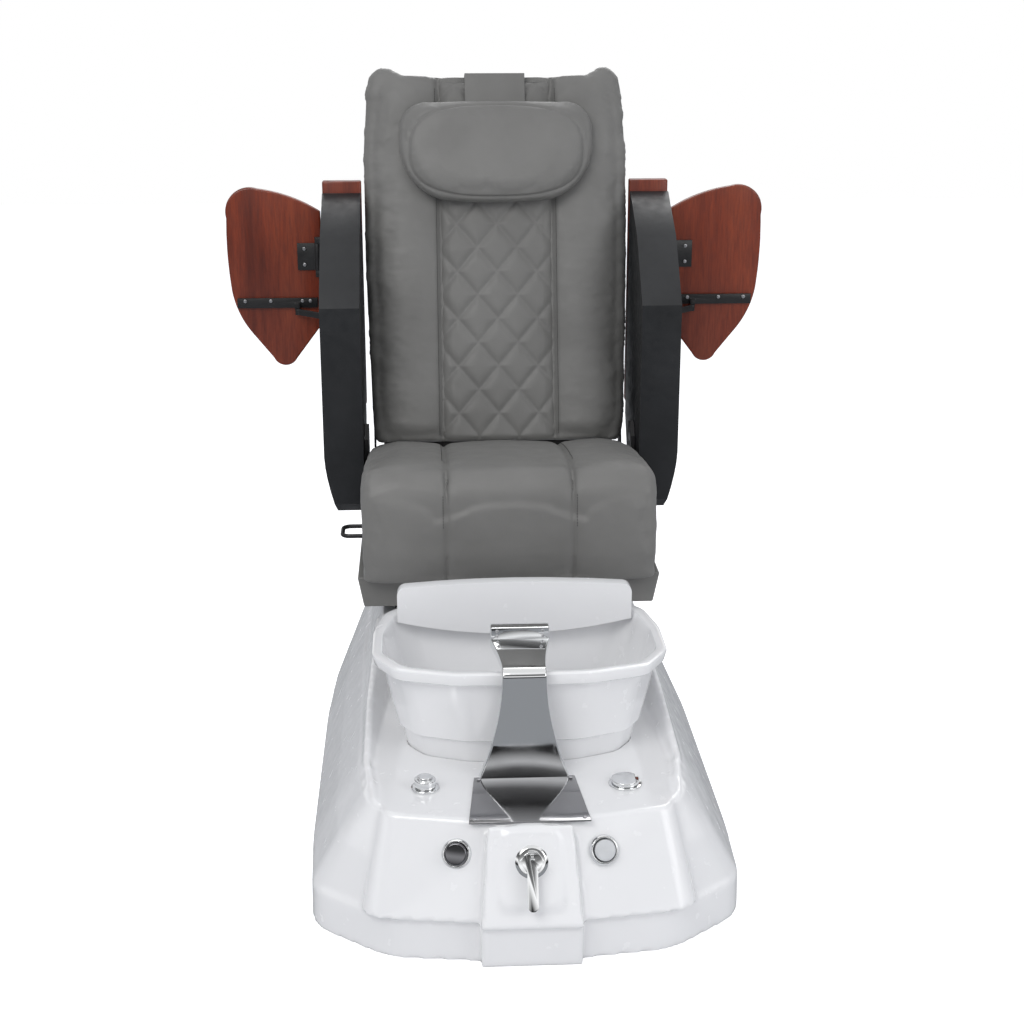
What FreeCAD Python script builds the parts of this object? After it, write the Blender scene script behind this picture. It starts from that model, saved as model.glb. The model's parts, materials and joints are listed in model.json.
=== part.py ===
"""A pedicure spa chair: moulded base with a foot tub, sliding seat, reclining back,
flip-up armrests with folding side trays, and the plumbing and motors they need.

Millimetres. X runs to the chair's right as seen from the front, the front faces -Y,
and Z is up from the floor. The origin is on the floor under the centre of the chair.
"""
import FreeCAD, Part
import math
import os
import Sketcher

from FreeCAD import Placement, Rotation, Vector

X_AXIS = Vector(1, 0, 0)
Y_AXIS = Vector(0, 1, 0)
Z_AXIS = Vector(0, 0, 1)

# Driving dimensions, in millimetres and degrees.
DIMENSIONS = {
    # Base shell: plinth, sloping skirt, console wedge, deck and rear pedestal.
    "base_half_width": 388,
    "base_front": 748,
    "base_rear": 780.29,
    "plinth_height": 78,
    "plinth_inset": 5,
    "shell_wall": 6,
    "deck_height": 232,
    "ridge_half_width": 303,
    "pedestal_height": 335,
    "pedestal_half_width": 262,
    "pedestal_front": 95,
    "console_half_width": 288,
    "console_top_half_width": 255,
    "console_overhang": 12,
    "console_top_front": 687,
    "console_sweep": 48,
    "console_chamfer": 24,
    "panel_half_width": 86,
    "panel_top_half_width": 73,
    "panel_proud": 10,
    # Foot tub.
    "rim_height": 420,
    "rim_lip": 22,
    "rim_width": 20,
    "tub_front": 491,
    "tub_back": 138,
    "tub_half_width": 272,
    "tub_floor": 130,
    "tub_taper": 34,
    "tub_wall": 6,
    # White splash panel between tub and seat.
    "splash_front": 200,
    "splash_thickness": 25,
    "splash_half_width": 226,
    "splash_top": 488,
    "splash_bottom": 382,
    # Chrome spout and its plate on the deck.
    "spout_foot_half_width": 86,
    "spout_neck_half_width": 37,
    "spout_mouth_half_width": 54,
    "spout_front": 518,
    "spout_reach": 372,
    "spout_depth": 16,
    "deck_plate_front": 684,
    "deck_plate_thickness": 3,
    "deck_plate_front_half_width": 104,
    "deck_plate_rear_half_width": 90,
    # Controls on the console face and the deck.
    "control_height": 180,
    "control_spacing": 125,
    "bezel_radius": 26,
    "bezel_depth": 7,
    "knob_radius": 19,
    "knob_length": 16,
    "button_radius": 18,
    "button_length": 9,
    "stem_radius": 5,
    "stem_length": 45,
    "escutcheon_radius": 31,
    "escutcheon_depth": 8,
    "hub_radius": 17,
    "hub_length": 18,
    "lever_width": 18,
    "lever_length": 72,
    "lever_thickness": 9,
    "lever_pin_y": 10,
    "deck_control_x": 177,
    "deck_control_y": 548,
    "sprayer_radius": 19,
    "sprayer_height": 15,
    "drain_knob_radius": 25,
    # Drain, supply tails, jet pump and the steelwork inside the base.
    "drain_y": -310,
    "drain_pipe_radius": 20,
    "pipe_end": 12,
    "valve_half_width": 55,
    "tail_radius": 7.5,
    "tail_grip": 84,
    "jet_height": 172,
    "jet_radius": 30,
    "chassis_front": 40,
    "chassis_length": 330,
    # Seat, on rails over the pedestal.
    "seat_front": 40,
    "seat_half_width": 298,
    "seat_rear_half_width": 291,
    "seat_rear": 440,
    "seat_front_top": 655,
    "seat_rear_top": 586,
    "seat_thickness": 132,
    "apron_bottom": 423,
    "apron_depth": 75,
    "skirt_half_width": 312,
    "skirt_wall": 10,
    "skirt_bottom": 339,
    "skirt_front": 4,
    "frame_half_width": 284,
    "frame_rear": 430,
    "rail_x": 220,
    "rail_width": 16,
    "rail_height": 20,
    "rail_length": 400,
    "rail_front": 16,
    "frame_tube": 40,
    "pan_front": 510,
    "seam_x": 127,
    "loop_height": 462,
    "loop_radius": 4.5,
    "loop_tip": 346,
    "lever_centre": 200,
    "actuator_y": 262,
    "actuator_z": 404,
    "base_frame_height": 21,
    "tube_width": 30,
    "runner_width": 28,
    # Backrest.
    "back_lean": 15.7,
    "back_hinge_y": 474,
    "back_hinge_z": 500,
    "back_half_width": 298,
    "back_low_half_width": 286,
    "back_length": 822,
    "back_crown": 14,
    "hinge_radius": 8,
    "crank_length": 70,
    "guide_radius": 6,
    "carriage_rest": 300,
    "bolster_rise": 24,
    "back_padding": 58,
    "back_top_depth": 92,
    "back_mid_depth": 148,
    "pillow_half_width": 216,
    "pillow_low": 532,
    "pillow_high": 757,
    "pillow_depth": 62,
    # Armrests, shown flipped up, and their side trays.
    "arm_inner": 303,
    "arm_outer": 389,
    "arm_front": 330,
    "arm_rear": 598,
    "arm_bottom": 462,
    "arm_top": 1128,
    "arm_pivot_y": 430,
    "arm_pivot_z": 600,
    "pivot_pin_radius": 10,
    "cap_thickness": 26,
    "cap_bottom": 640,
    "cap_top": 1154,
    "tray_hinge_x": 404,
    "tray_reach": 608,
    "tray_thickness": 18,
    "tray_low": 733,
    "tray_high": 1138,
    "tray_gap": 9,
    "bar_height": 22,
    "bar_thickness": 8,
    "bar_centre": 880,
    "strut_length": 84,
    "strut_offset": 50,
    "hinge_pin_radius": 3,
    "hinge_centre": 985,
    "hinge_span": 45,
    "pin_reach": 57,
    # Slack between faces that move past each other, and running fit of pins.
    "slack": 0.5,
    "running_fit": 0.05,
}


class Size:
    """A number that also knows its formula over the sheet's cells."""

    def __init__(self, value, text):
        self.value = float(value)
        self.text = text

    def __float__(self):
        return self.value

    def _join(self, other, sign, result, swapped=False):
        other = as_size(other)
        first, second = (other, self) if swapped else (self, other)
        return Size(result(first.value, second.value), f"({first.text} {sign} {second.text})")

    def __add__(self, other):
        return self._join(other, "+", lambda a, b: a + b)

    def __radd__(self, other):
        return self._join(other, "+", lambda a, b: a + b, swapped=True)

    def __sub__(self, other):
        return self._join(other, "-", lambda a, b: a - b)

    def __rsub__(self, other):
        return self._join(other, "-", lambda a, b: a - b, swapped=True)

    def __mul__(self, other):
        return self._join(other, "*", lambda a, b: a * b)

    def __rmul__(self, other):
        return self._join(other, "*", lambda a, b: a * b, swapped=True)

    def __truediv__(self, other):
        return self._join(other, "/", lambda a, b: a / b)

    def __neg__(self):
        return Size(-self.value, f"(0 - {self.text})")


def as_size(number):
    return number if isinstance(number, Size) else Size(number, repr(float(number)))


doc = FreeCAD.newDocument("SpaChair")
sheet = doc.addObject("Spreadsheet::Sheet", "Sizes")
for row, (name, number) in enumerate(DIMENSIONS.items(), start=1):
    sheet.set(f"A{row}", name)
    sheet.set(f"B{row}", str(number))
    sheet.setAlias(f"B{row}", name)
doc.recompute()


class Sheet:
    """The sheet's cells as sizes, each under its alias."""


s = Sheet()
for name in DIMENSIONS:
    setattr(s, name, Size(getattr(sheet, name), f"Sizes.{name}"))

subparts = []


def keep(piece):
    """Mark an object as one of the sub-parts that are written out."""
    subparts.append(piece)
    return piece


def bind(piece, name, number):
    """Set a property and tie it to the sheet."""
    number = as_size(number)
    setattr(piece, name, number.value)
    piece.setExpression(name, number.text)


def put(piece, x, y, z, rotation=None):
    """Place an object, with each coordinate tied to the sheet."""
    piece.Placement = Placement(Vector(float(x), float(y), float(z)), rotation or Rotation())
    for axis, number in (("x", x), ("y", y), ("z", z)):
        piece.setExpression(f"Placement.Base.{axis}", as_size(number).text)


def block(label, x, y, z):
    """A box between a pair of limits along each axis."""
    piece = doc.addObject("Part::Box", label)
    for name, (low, high) in zip(("Length", "Width", "Height"), (x, y, z)):
        bind(piece, name, high - low)
    put(piece, x[0], y[0], z[0])
    return piece


def rod(label, radius, x, y, z):
    """A cylinder along the one axis that is given as a pair of limits."""
    piece = doc.addObject("Part::Cylinder", label)
    bind(piece, "Radius", radius)
    spans = {"x": x, "y": y, "z": z}
    along = next(axis for axis in spans if isinstance(spans[axis], tuple))
    low, high = spans[along]
    bind(piece, "Height", high - low)
    spans[along] = low
    turn = {"x": Rotation(Y_AXIS, 90), "y": Rotation(X_AXIS, -90), "z": Rotation()}[along]
    put(piece, spans["x"], spans["y"], spans["z"], turn)
    return piece


def cut(label, base, tool):
    piece = doc.addObject("Part::Cut", label)
    piece.Base = base
    piece.Tool = tool
    return piece


def fuse(label, pieces):
    piece = doc.addObject("Part::MultiFuse", label)
    piece.Shapes = pieces
    return piece


def group(label, pieces):
    """Separate solids that share one node."""
    piece = doc.addObject("Part::Compound", label)
    piece.Links = pieces
    return piece


def feature(label, shape):
    piece = doc.addObject("Part::Feature", label)
    piece.Shape = shape
    return piece


def sided(side, low, high):
    """Limits along X on one side of the chair: side is -1 or 1."""
    return (low, high) if side > 0 else (-high, -low)


def point(x, y, z):
    return Vector(float(x), float(y), float(z))


def polygon(points):
    return Part.makePolygon(list(points) + [points[0]])


def loft(sections, ruled=True):
    return Part.makeLoft([polygon(section) for section in sections], True, ruled)


def mirrored_outline(half):
    """Close a half outline, given from front centre to rear centre at X of 0 or more."""
    left = [Vector(-p.x, p.y, p.z) for p in reversed(half) if p.x > 0.001]
    return list(half) + left


def prism(outline, direction):
    """A straight-sided solid from a closed flat outline."""
    return Part.Face(polygon(outline)).extrude(direction)


def side_prism(profile, x_low, x_high):
    """A solid with a profile of (y, z) pairs between two X limits."""
    outline = [point(x_low, y, z) for y, z in profile]
    return prism(outline, Vector(float(x_high) - float(x_low), 0, 0))


def padded_body(label, profile, x_low, x_high):
    """A plate sketched from (y, z) pairs and padded along X between two limits."""
    body = doc.addObject("PartDesign::Body", label)
    plane = next(p for p in body.Origin.OriginFeatures if p.Role == "YZ_Plane")
    sketch = body.newObject("Sketcher::SketchObject", f"{label}_sketch")
    sketch.AttachmentSupport = [(plane, "")]
    sketch.MapMode = "FlatFace"
    corners = [Vector(float(y), float(z), 0) for y, z in profile]
    count = len(corners)
    for index in range(count):
        sketch.addGeometry(Part.LineSegment(corners[index], corners[(index + 1) % count]), False)
    for index in range(count):
        sketch.addConstraint(Sketcher.Constraint("Coincident", index, 2, (index + 1) % count, 1))
    for index, (y, z) in enumerate(profile):
        for kind, number in (("DistanceX", y), ("DistanceY", z)):
            number = as_size(number)
            place = sketch.addConstraint(
                Sketcher.Constraint(kind, -1, 1, index, 1, number.value))
            sketch.setExpression(f"Constraints[{place}]", number.text)
    pad = body.newObject("PartDesign::Pad", f"{label}_pad")
    pad.Profile = sketch
    bind(pad, "Length", x_high - x_low)
    body.Tip = pad
    put(body, x_low, 0, 0)
    return body


def turned(label, profile, origin, rotation):
    """A solid of revolution about its own Z, from (radius, height) pairs, then placed."""
    points = [Vector(float(r), 0, float(h)) for r, h in profile]
    shape = Part.Face(polygon(points)).revolve(Vector(), Z_AXIS, 360)
    piece = feature(label, shape)
    piece.Placement = Placement(origin, rotation)
    return piece


# Base shell.

def base_outlines(inset):
    """Half outlines of the base at floor, plinth top and shoulder height."""
    wide = float(s.base_half_width) - inset
    front = float(s.base_front) - inset
    rear = float(s.base_rear) - inset
    ridge = float(s.ridge_half_width) - inset
    plan = [(0, -front), (0.632 * wide, -front + 30), (0.977 * wide, -front + 138),
            (wide, -front + 330), (wide, 120), (0.975 * wide, 330), (0.91 * wide, 560),
            (0.75 * wide, rear - 55), (0.5 * wide, rear), (0, rear)]
    shoulder = [(0, -front + 122), (0.83 * ridge, -front + 128), (0.93 * ridge, -front + 168),
                (0.98 * ridge, -front + 290), (ridge, 100), (0.99 * ridge, 320),
                (0.95 * ridge, 540), (0.83 * ridge, rear - 118), (0.66 * ridge, rear - 70),
                (0, rear - 70)]
    return plan, shoulder


def base_body(inset, floor):
    """The plinth and its sloping skirt up to the deck."""
    plan, shoulder = base_outlines(inset)
    step = float(s.plinth_inset)
    top = float(s.plinth_height)
    deck = float(s.deck_height) - inset
    scale = 1 - step / float(s.base_half_width)
    low = mirrored_outline([Vector(x, y, floor) for x, y in plan])
    middle = mirrored_outline([Vector(x * scale, y * scale, top) for x, y in plan])
    high = mirrored_outline([Vector(x, y, deck) for x, y in shoulder])
    return loft([low, middle]).fuse(loft([middle, high]))


def console_wedge(inset):
    """The sloping console across the front, which overhangs the plinth."""
    bottom_front = float(s.base_front) + float(s.console_overhang) - inset
    top_front = float(s.console_top_front) - inset
    low_half = float(s.console_half_width) - inset
    top_half = float(s.console_top_half_width) - inset
    sweep = float(s.console_sweep)
    chamfer = float(s.console_chamfer)
    back = float(s.base_front) - 180
    low = float(s.plinth_height) + inset
    high = float(s.deck_height) - inset
    bottom = mirrored_outline([
        Vector(0, -bottom_front, low), Vector(low_half - chamfer, -bottom_front + sweep * 0.8, low),
        Vector(low_half, -bottom_front + sweep + chamfer * 0.5, low), Vector(low_half, -back, low),
        Vector(0, -back, low)])
    top = mirrored_outline([
        Vector(0, -top_front, high), Vector(top_half - chamfer * 0.7, -top_front + sweep, high),
        Vector(top_half, -top_front + sweep + chamfer * 0.8, high), Vector(top_half, -back, high),
        Vector(0, -back, high)])
    return loft([bottom, top])


def centre_panel():
    """The proud panel down the middle of the console, from deck to floor."""
    proud = float(s.panel_proud)
    top_half = float(s.panel_top_half_width)
    half = float(s.panel_half_width)
    plinth = float(s.plinth_height)
    deck = float(s.deck_height)
    front = float(s.base_front)
    over = float(s.console_overhang)
    top_front = float(s.console_top_front)
    depth = 60
    profiles = [
        [(half, -front - proud, 0), (half, -front + depth, 0)],
        [(half, -front - proud, plinth - 3), (half, -front + depth, plinth - 3)],
        [(half, -front - over - proud + 2, plinth), (half, -front + depth, plinth)],
        [(top_half, -top_front - proud, deck), (top_half, -top_front + depth, deck)],
    ]
    sections = []
    for (x0, y0, z0), (x1, y1, z1) in profiles:
        sections.append([Vector(x0, y0, z0), Vector(x1, y1, z1), Vector(-x1, y1, z1), Vector(-x0, y0, z0)])
    shape = loft(sections[0:2])
    for index in (1, 2):
        shape = shape.fuse(loft(sections[index:index + 2]))
    return shape


def shoulder_ridge(side):
    """The raised shoulder along one side of the deck, growing into the pedestal."""
    deck = float(s.deck_height) - 8
    ridge = float(s.ridge_half_width)
    front = float(s.base_front)
    pedestal = float(s.pedestal_height)
    wall_slope = (float(s.base_half_width) - ridge) / (float(s.deck_height) - float(s.plinth_height))
    stations = [(-front + 150, 0.90, 10, 12), (-front + 290, 0.97, 24, 26),
                (-float(s.tub_front) + 250, 0.985, 45, 34), (-float(s.pedestal_front), 0.985, 78, 42),
                (60, 0.985, pedestal - deck - 14, 50)]
    sections = []
    for y, share, rise, width in stations:
        outer = ridge * share
        lean = rise * wall_slope * 0.45
        sections.append([Vector(side * outer, y, deck), Vector(side * (outer - lean), y, deck + rise),
                         Vector(side * (outer - lean - 10), y, deck + rise),
                         Vector(side * (outer - lean - width), y, deck)])
    return loft(sections)


def pedestal(inset):
    """The rear part of the moulding, which carries the seat."""
    half = float(s.pedestal_half_width) - inset
    wide = float(s.ridge_half_width) - inset
    front = float(s.pedestal_front) - inset
    rear = float(s.base_rear) - inset
    low = float(s.deck_height) - 8 - inset
    high = float(s.pedestal_height) - inset
    bottom = mirrored_outline([
        Vector(0, -front, low), Vector(0.9 * wide, -front, low), Vector(0.985 * wide, -front + 60, low),
        Vector(0.985 * wide, 320, low), Vector(0.93 * wide, 540, low), Vector(0.6 * wide, rear - 78, low),
        Vector(0, rear - 78, low)])
    top = mirrored_outline([
        Vector(0, -front + 8, high), Vector(0.86 * half, -front + 8, high), Vector(half, -front + 60, high),
        Vector(half, 330, high), Vector(0.95 * half, 470, high), Vector(0.6 * half, rear - 190, high),
        Vector(0, rear - 190, high)])
    return loft([bottom, top])


# Foot tub.

def tub_section(height, grow):
    """Half outline of the tub at a height; it tapers towards its floor."""
    rim = float(s.rim_height)
    floor = float(s.tub_floor)
    down = (rim - height) / (rim - floor)
    taper = float(s.tub_taper)
    wide = (float(s.tub_half_width) - float(s.rim_width)) * (1 - 0.26 * down) + grow
    front = float(s.tub_front) - float(s.rim_width) + grow - taper * down
    back = float(s.tub_back) + float(s.rim_width) - grow + taper * down
    span = front - back
    return [Vector(0, -front, height), Vector(0.46 * wide, -front + 2, height),
            Vector(0.84 * wide, -front + 32, height), Vector(wide, -front + 0.3 * span, height),
            Vector(wide, -front + 0.62 * span, height), Vector(0.93 * wide, -back - 0.1 * span, height),
            Vector(0.82 * wide, -back - 2, height), Vector(0, -back, height)]


def tub_solid(top, grow, floor_drop=0.0):
    floor = float(s.tub_floor) - floor_drop
    step = float(s.deck_height) + 42
    sections = [mirrored_outline(tub_section(z, g)) for z, g in
                ((floor, grow - 6), (step, grow - 6), (step + 4, grow), (top, grow))]
    shape = loft(sections[0:2])
    for index in (1, 2):
        shape = shape.fuse(loft(sections[index:index + 2]))
    return shape


def make_base():
    """Moulded base shell, opened for the tub and the controls."""
    wall = float(s.shell_wall)
    outer = base_body(0, 0).fuse([console_wedge(0), pedestal(0), shoulder_ridge(1), shoulder_ridge(-1)])
    outer = outer.fuse(centre_panel())
    hollow = base_body(wall, -1).fuse([console_wedge(wall * 1.4), pedestal(wall)])
    opening = tub_solid(float(s.rim_height), 0.3 + float(s.tub_wall), 12)
    shell = outer.cut(hollow).cut(opening)
    holes = []
    for x, radius in ((-1, s.stem_radius), (0, s.hub_radius), (1, s.stem_radius)):
        origin, turn = console_frame(x)
        bore = Part.makeCylinder(float(radius) + 1.5, 60, Vector(0, 0, -50), Z_AXIS)
        bore.Placement = Placement(origin, turn)
        holes.append(bore)
    for x in (-1, 1):
        holes.append(Part.makeCylinder(float(s.stem_radius) + 4, 40,
                                       Vector(x * float(s.deck_control_x), -float(s.deck_control_y),
                                              float(s.deck_height) - 30), Z_AXIS))
    shell = shell.cut(holes)
    keep(feature("base_shell", shell.removeSplitter()))


def console_frame(place):
    """Origin and rotation of a control on the console face: place is -1, 0 or 1."""
    low = float(s.plinth_height)
    deck = float(s.deck_height)
    bottom_front = float(s.base_front) + float(s.console_overhang)
    top_front = float(s.console_top_front)
    share = (float(s.control_height) - low) / (deck - low)
    y_centre = -(bottom_front + (top_front - bottom_front) * share)
    lean = math.degrees(math.atan2(bottom_front - top_front, deck - low))
    half_low = float(s.console_half_width) - float(s.console_chamfer)
    half_top = float(s.console_top_half_width) - float(s.console_chamfer) * 0.7
    half = half_low + (half_top - half_low) * share
    sweep = float(s.console_sweep) * (0.8 + 0.2 * share)
    yaw = math.degrees(math.atan2(sweep, half)) * place
    x = float(s.control_spacing) * place
    y = y_centre + sweep * abs(x) / half - (float(s.panel_proud) if place == 0 else 0)
    turn = Rotation(Z_AXIS, yaw).multiply(Rotation(X_AXIS, 90 - lean))
    return Vector(x, y, float(s.control_height)), turn


def make_tub():
    """Bowl with a turned-down lip, and holes for the jet and the drain."""
    rim = float(s.rim_height)
    wall = float(s.tub_wall)
    width = float(s.rim_width)
    drop = Vector(0, 0, -float(s.rim_lip))
    lip = prism(mirrored_outline(tub_section(rim, width)), drop)
    lip = lip.cut(prism(mirrored_outline(tub_section(rim, 0)), drop))
    under = prism(mirrored_outline(tub_section(rim - wall, width - wall)), drop)
    jet = Part.makeCylinder(float(s.jet_radius), 60, point(0, jet_wall - 40, s.jet_height), Y_AXIS)
    drain = Part.makeCylinder(float(s.drain_pipe_radius), 60, point(0, s.drain_y, s.tub_floor - 50), Z_AXIS)
    bowl = tub_solid(rim, wall, wall).fuse(lip.cut(under))
    keep(feature("tub_bowl", bowl.cut([tub_solid(rim + 1, 0), jet, drain])))


def tub_space():
    """The room the tub's rim and wall take up behind the splash panel."""
    rim = float(s.rim_height)
    slack = float(s.slack)
    inside = prism(mirrored_outline(tub_section(rim + 1, -slack)), Vector(0, 0, -70))
    space = prism(mirrored_outline(tub_section(rim + slack, float(s.rim_width) + slack)), Vector(0, 0, -60))
    wall = tub_solid(rim, float(s.tub_wall) + slack).cut(tub_solid(rim + 1, -slack))
    return space.cut(inside).fuse(wall)


def make_splash_panel():
    """White panel in front of the seat: arched top, curved lower edge, fixed by two brackets."""
    half = float(s.splash_half_width)
    low = float(s.splash_bottom)
    top = float(s.splash_top)
    front = -float(s.splash_front)
    radius = 18
    side_low = low + 27
    corners = [Vector(-half, front, side_low), Vector(-half, front, top - radius - 8),
               Vector(-half + radius, front, top - 8), Vector(0, front, top),
               Vector(half - radius, front, top - 8), Vector(half, front, top - radius - 8),
               Vector(half, front, side_low), Vector(0, front, low)]
    turn = radius * (1 - math.sqrt(0.5))
    edges = [
        Part.LineSegment(corners[0], corners[1]).toShape(),
        Part.Arc(corners[1], Vector(-half + turn, front, top - 8 - turn), corners[2]).toShape(),
        Part.Arc(corners[2], corners[3], corners[4]).toShape(),
        Part.Arc(corners[4], Vector(half - turn, front, top - 8 - turn), corners[5]).toShape(),
        Part.LineSegment(corners[5], corners[6]).toShape(),
        Part.Arc(corners[6], corners[7], corners[0]).toShape(),
    ]
    plate = Part.Face(Part.Wire(edges)).extrude(Vector(0, float(s.splash_thickness), 0))
    keep(feature("splash_panel", plate.cut(tub_space())))
    back = s.splash_thickness - s.splash_front
    brackets = []
    for side in (-1, 1):
        x = sided(side, as_size(110), as_size(160))
        upright = block(f"bracket_upright_{side + 1}", x, (back, back + 4),
                        (s.rim_height, s.rim_height + 45))
        foot = block(f"bracket_foot_{side + 1}", x, (back, 10 - s.tub_back - s.rim_width),
                     (s.rim_height, s.rim_height + 4))
        brackets.append(fuse(f"bracket_{side + 1}", [upright, foot]))
    keep(group("splash_brackets", brackets))


def make_spout():
    """Chrome spout that rises from the deck, hooks over the rim and ends in a wide mouth."""
    deck = float(s.deck_height)
    rim = float(s.rim_height)
    front = -float(s.spout_front)
    depth = float(s.spout_depth)
    foot = float(s.spout_foot_half_width)
    neck = float(s.spout_neck_half_width)
    mouth = float(s.spout_mouth_half_width)
    reach = -float(s.spout_reach)
    stations = [
        (foot, front + 4, front + depth + 6, deck), (foot - 4, front + 2, front + depth + 4, deck + 18),
        (neck + 26, front + 1, front + depth + 3, deck + 70), (neck + 6, front, front + depth, deck + 130),
        (neck, front, front + depth, rim + 4)]
    sections = [[Vector(-x, y0, z), Vector(x, y0, z), Vector(x, y1, z), Vector(-x, y1, z)]
                for x, y0, y1, z in stations]
    column = loft(sections[0:2])
    for index in range(1, len(sections) - 1):
        column = column.fuse(loft(sections[index:index + 2]))
    top = rim + 4
    elbow = side_prism([(front, top), (front + depth, top), (front + depth, top + depth),
                        (front + 7, top + depth), (front, top + depth - 7)], -neck, neck)
    run = loft([[Vector(-neck, front + depth, top), Vector(neck, front + depth, top),
                 Vector(neck, front + depth, top + depth), Vector(-neck, front + depth, top + depth)],
                [Vector(-mouth, reach, top), Vector(mouth, reach, top),
                 Vector(mouth, reach, top + depth), Vector(-mouth, reach, top + depth)]])
    head = Part.makeBox(2 * mouth, 26, depth + 22, Vector(-mouth, reach, top))
    slot = Part.makeBox(2 * mouth - 12, 18, 7, Vector(-mouth + 6, reach + 12, top + 6))
    spout = column.fuse([elbow, run, head]).cut(slot)
    keep(feature("waterfall_spout", spout.removeSplitter()))
    plate_z = deck
    front_y = -float(s.deck_plate_front)
    rear_y = front + 2
    wide = float(s.deck_plate_front_half_width)
    narrow = float(s.deck_plate_rear_half_width)
    plate = prism([Vector(-wide, front_y, plate_z), Vector(wide, front_y, plate_z),
                   Vector(narrow, rear_y, plate_z), Vector(-narrow, rear_y, plate_z)],
                  Vector(0, 0, float(s.deck_plate_thickness)))
    keep(feature("deck_plate", plate))
    screws = []
    screw_top = s.deck_height + s.deck_plate_thickness
    for side in (-1, 1):
        for label, x, y in (("front", s.deck_plate_front_half_width - 10, 10 - s.deck_plate_front),
                            ("rear", s.deck_plate_rear_half_width - 8, -8 - s.spout_front)):
            screws.append(rod(f"plate_screw_{label}_{side + 1}", 3.5, side * x, y,
                              (screw_top, screw_top + 1.6)))
        for row, z in enumerate((s.rim_height + 26, s.rim_height + 36)):
            screws.append(rod(f"mouth_screw_{row}_{side + 1}", 3, side * (s.spout_mouth_half_width - 12),
                              (-1.5 - s.spout_reach, as_size(0) - s.spout_reach), z))
    keep(group("trim_screws", screws))


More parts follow.
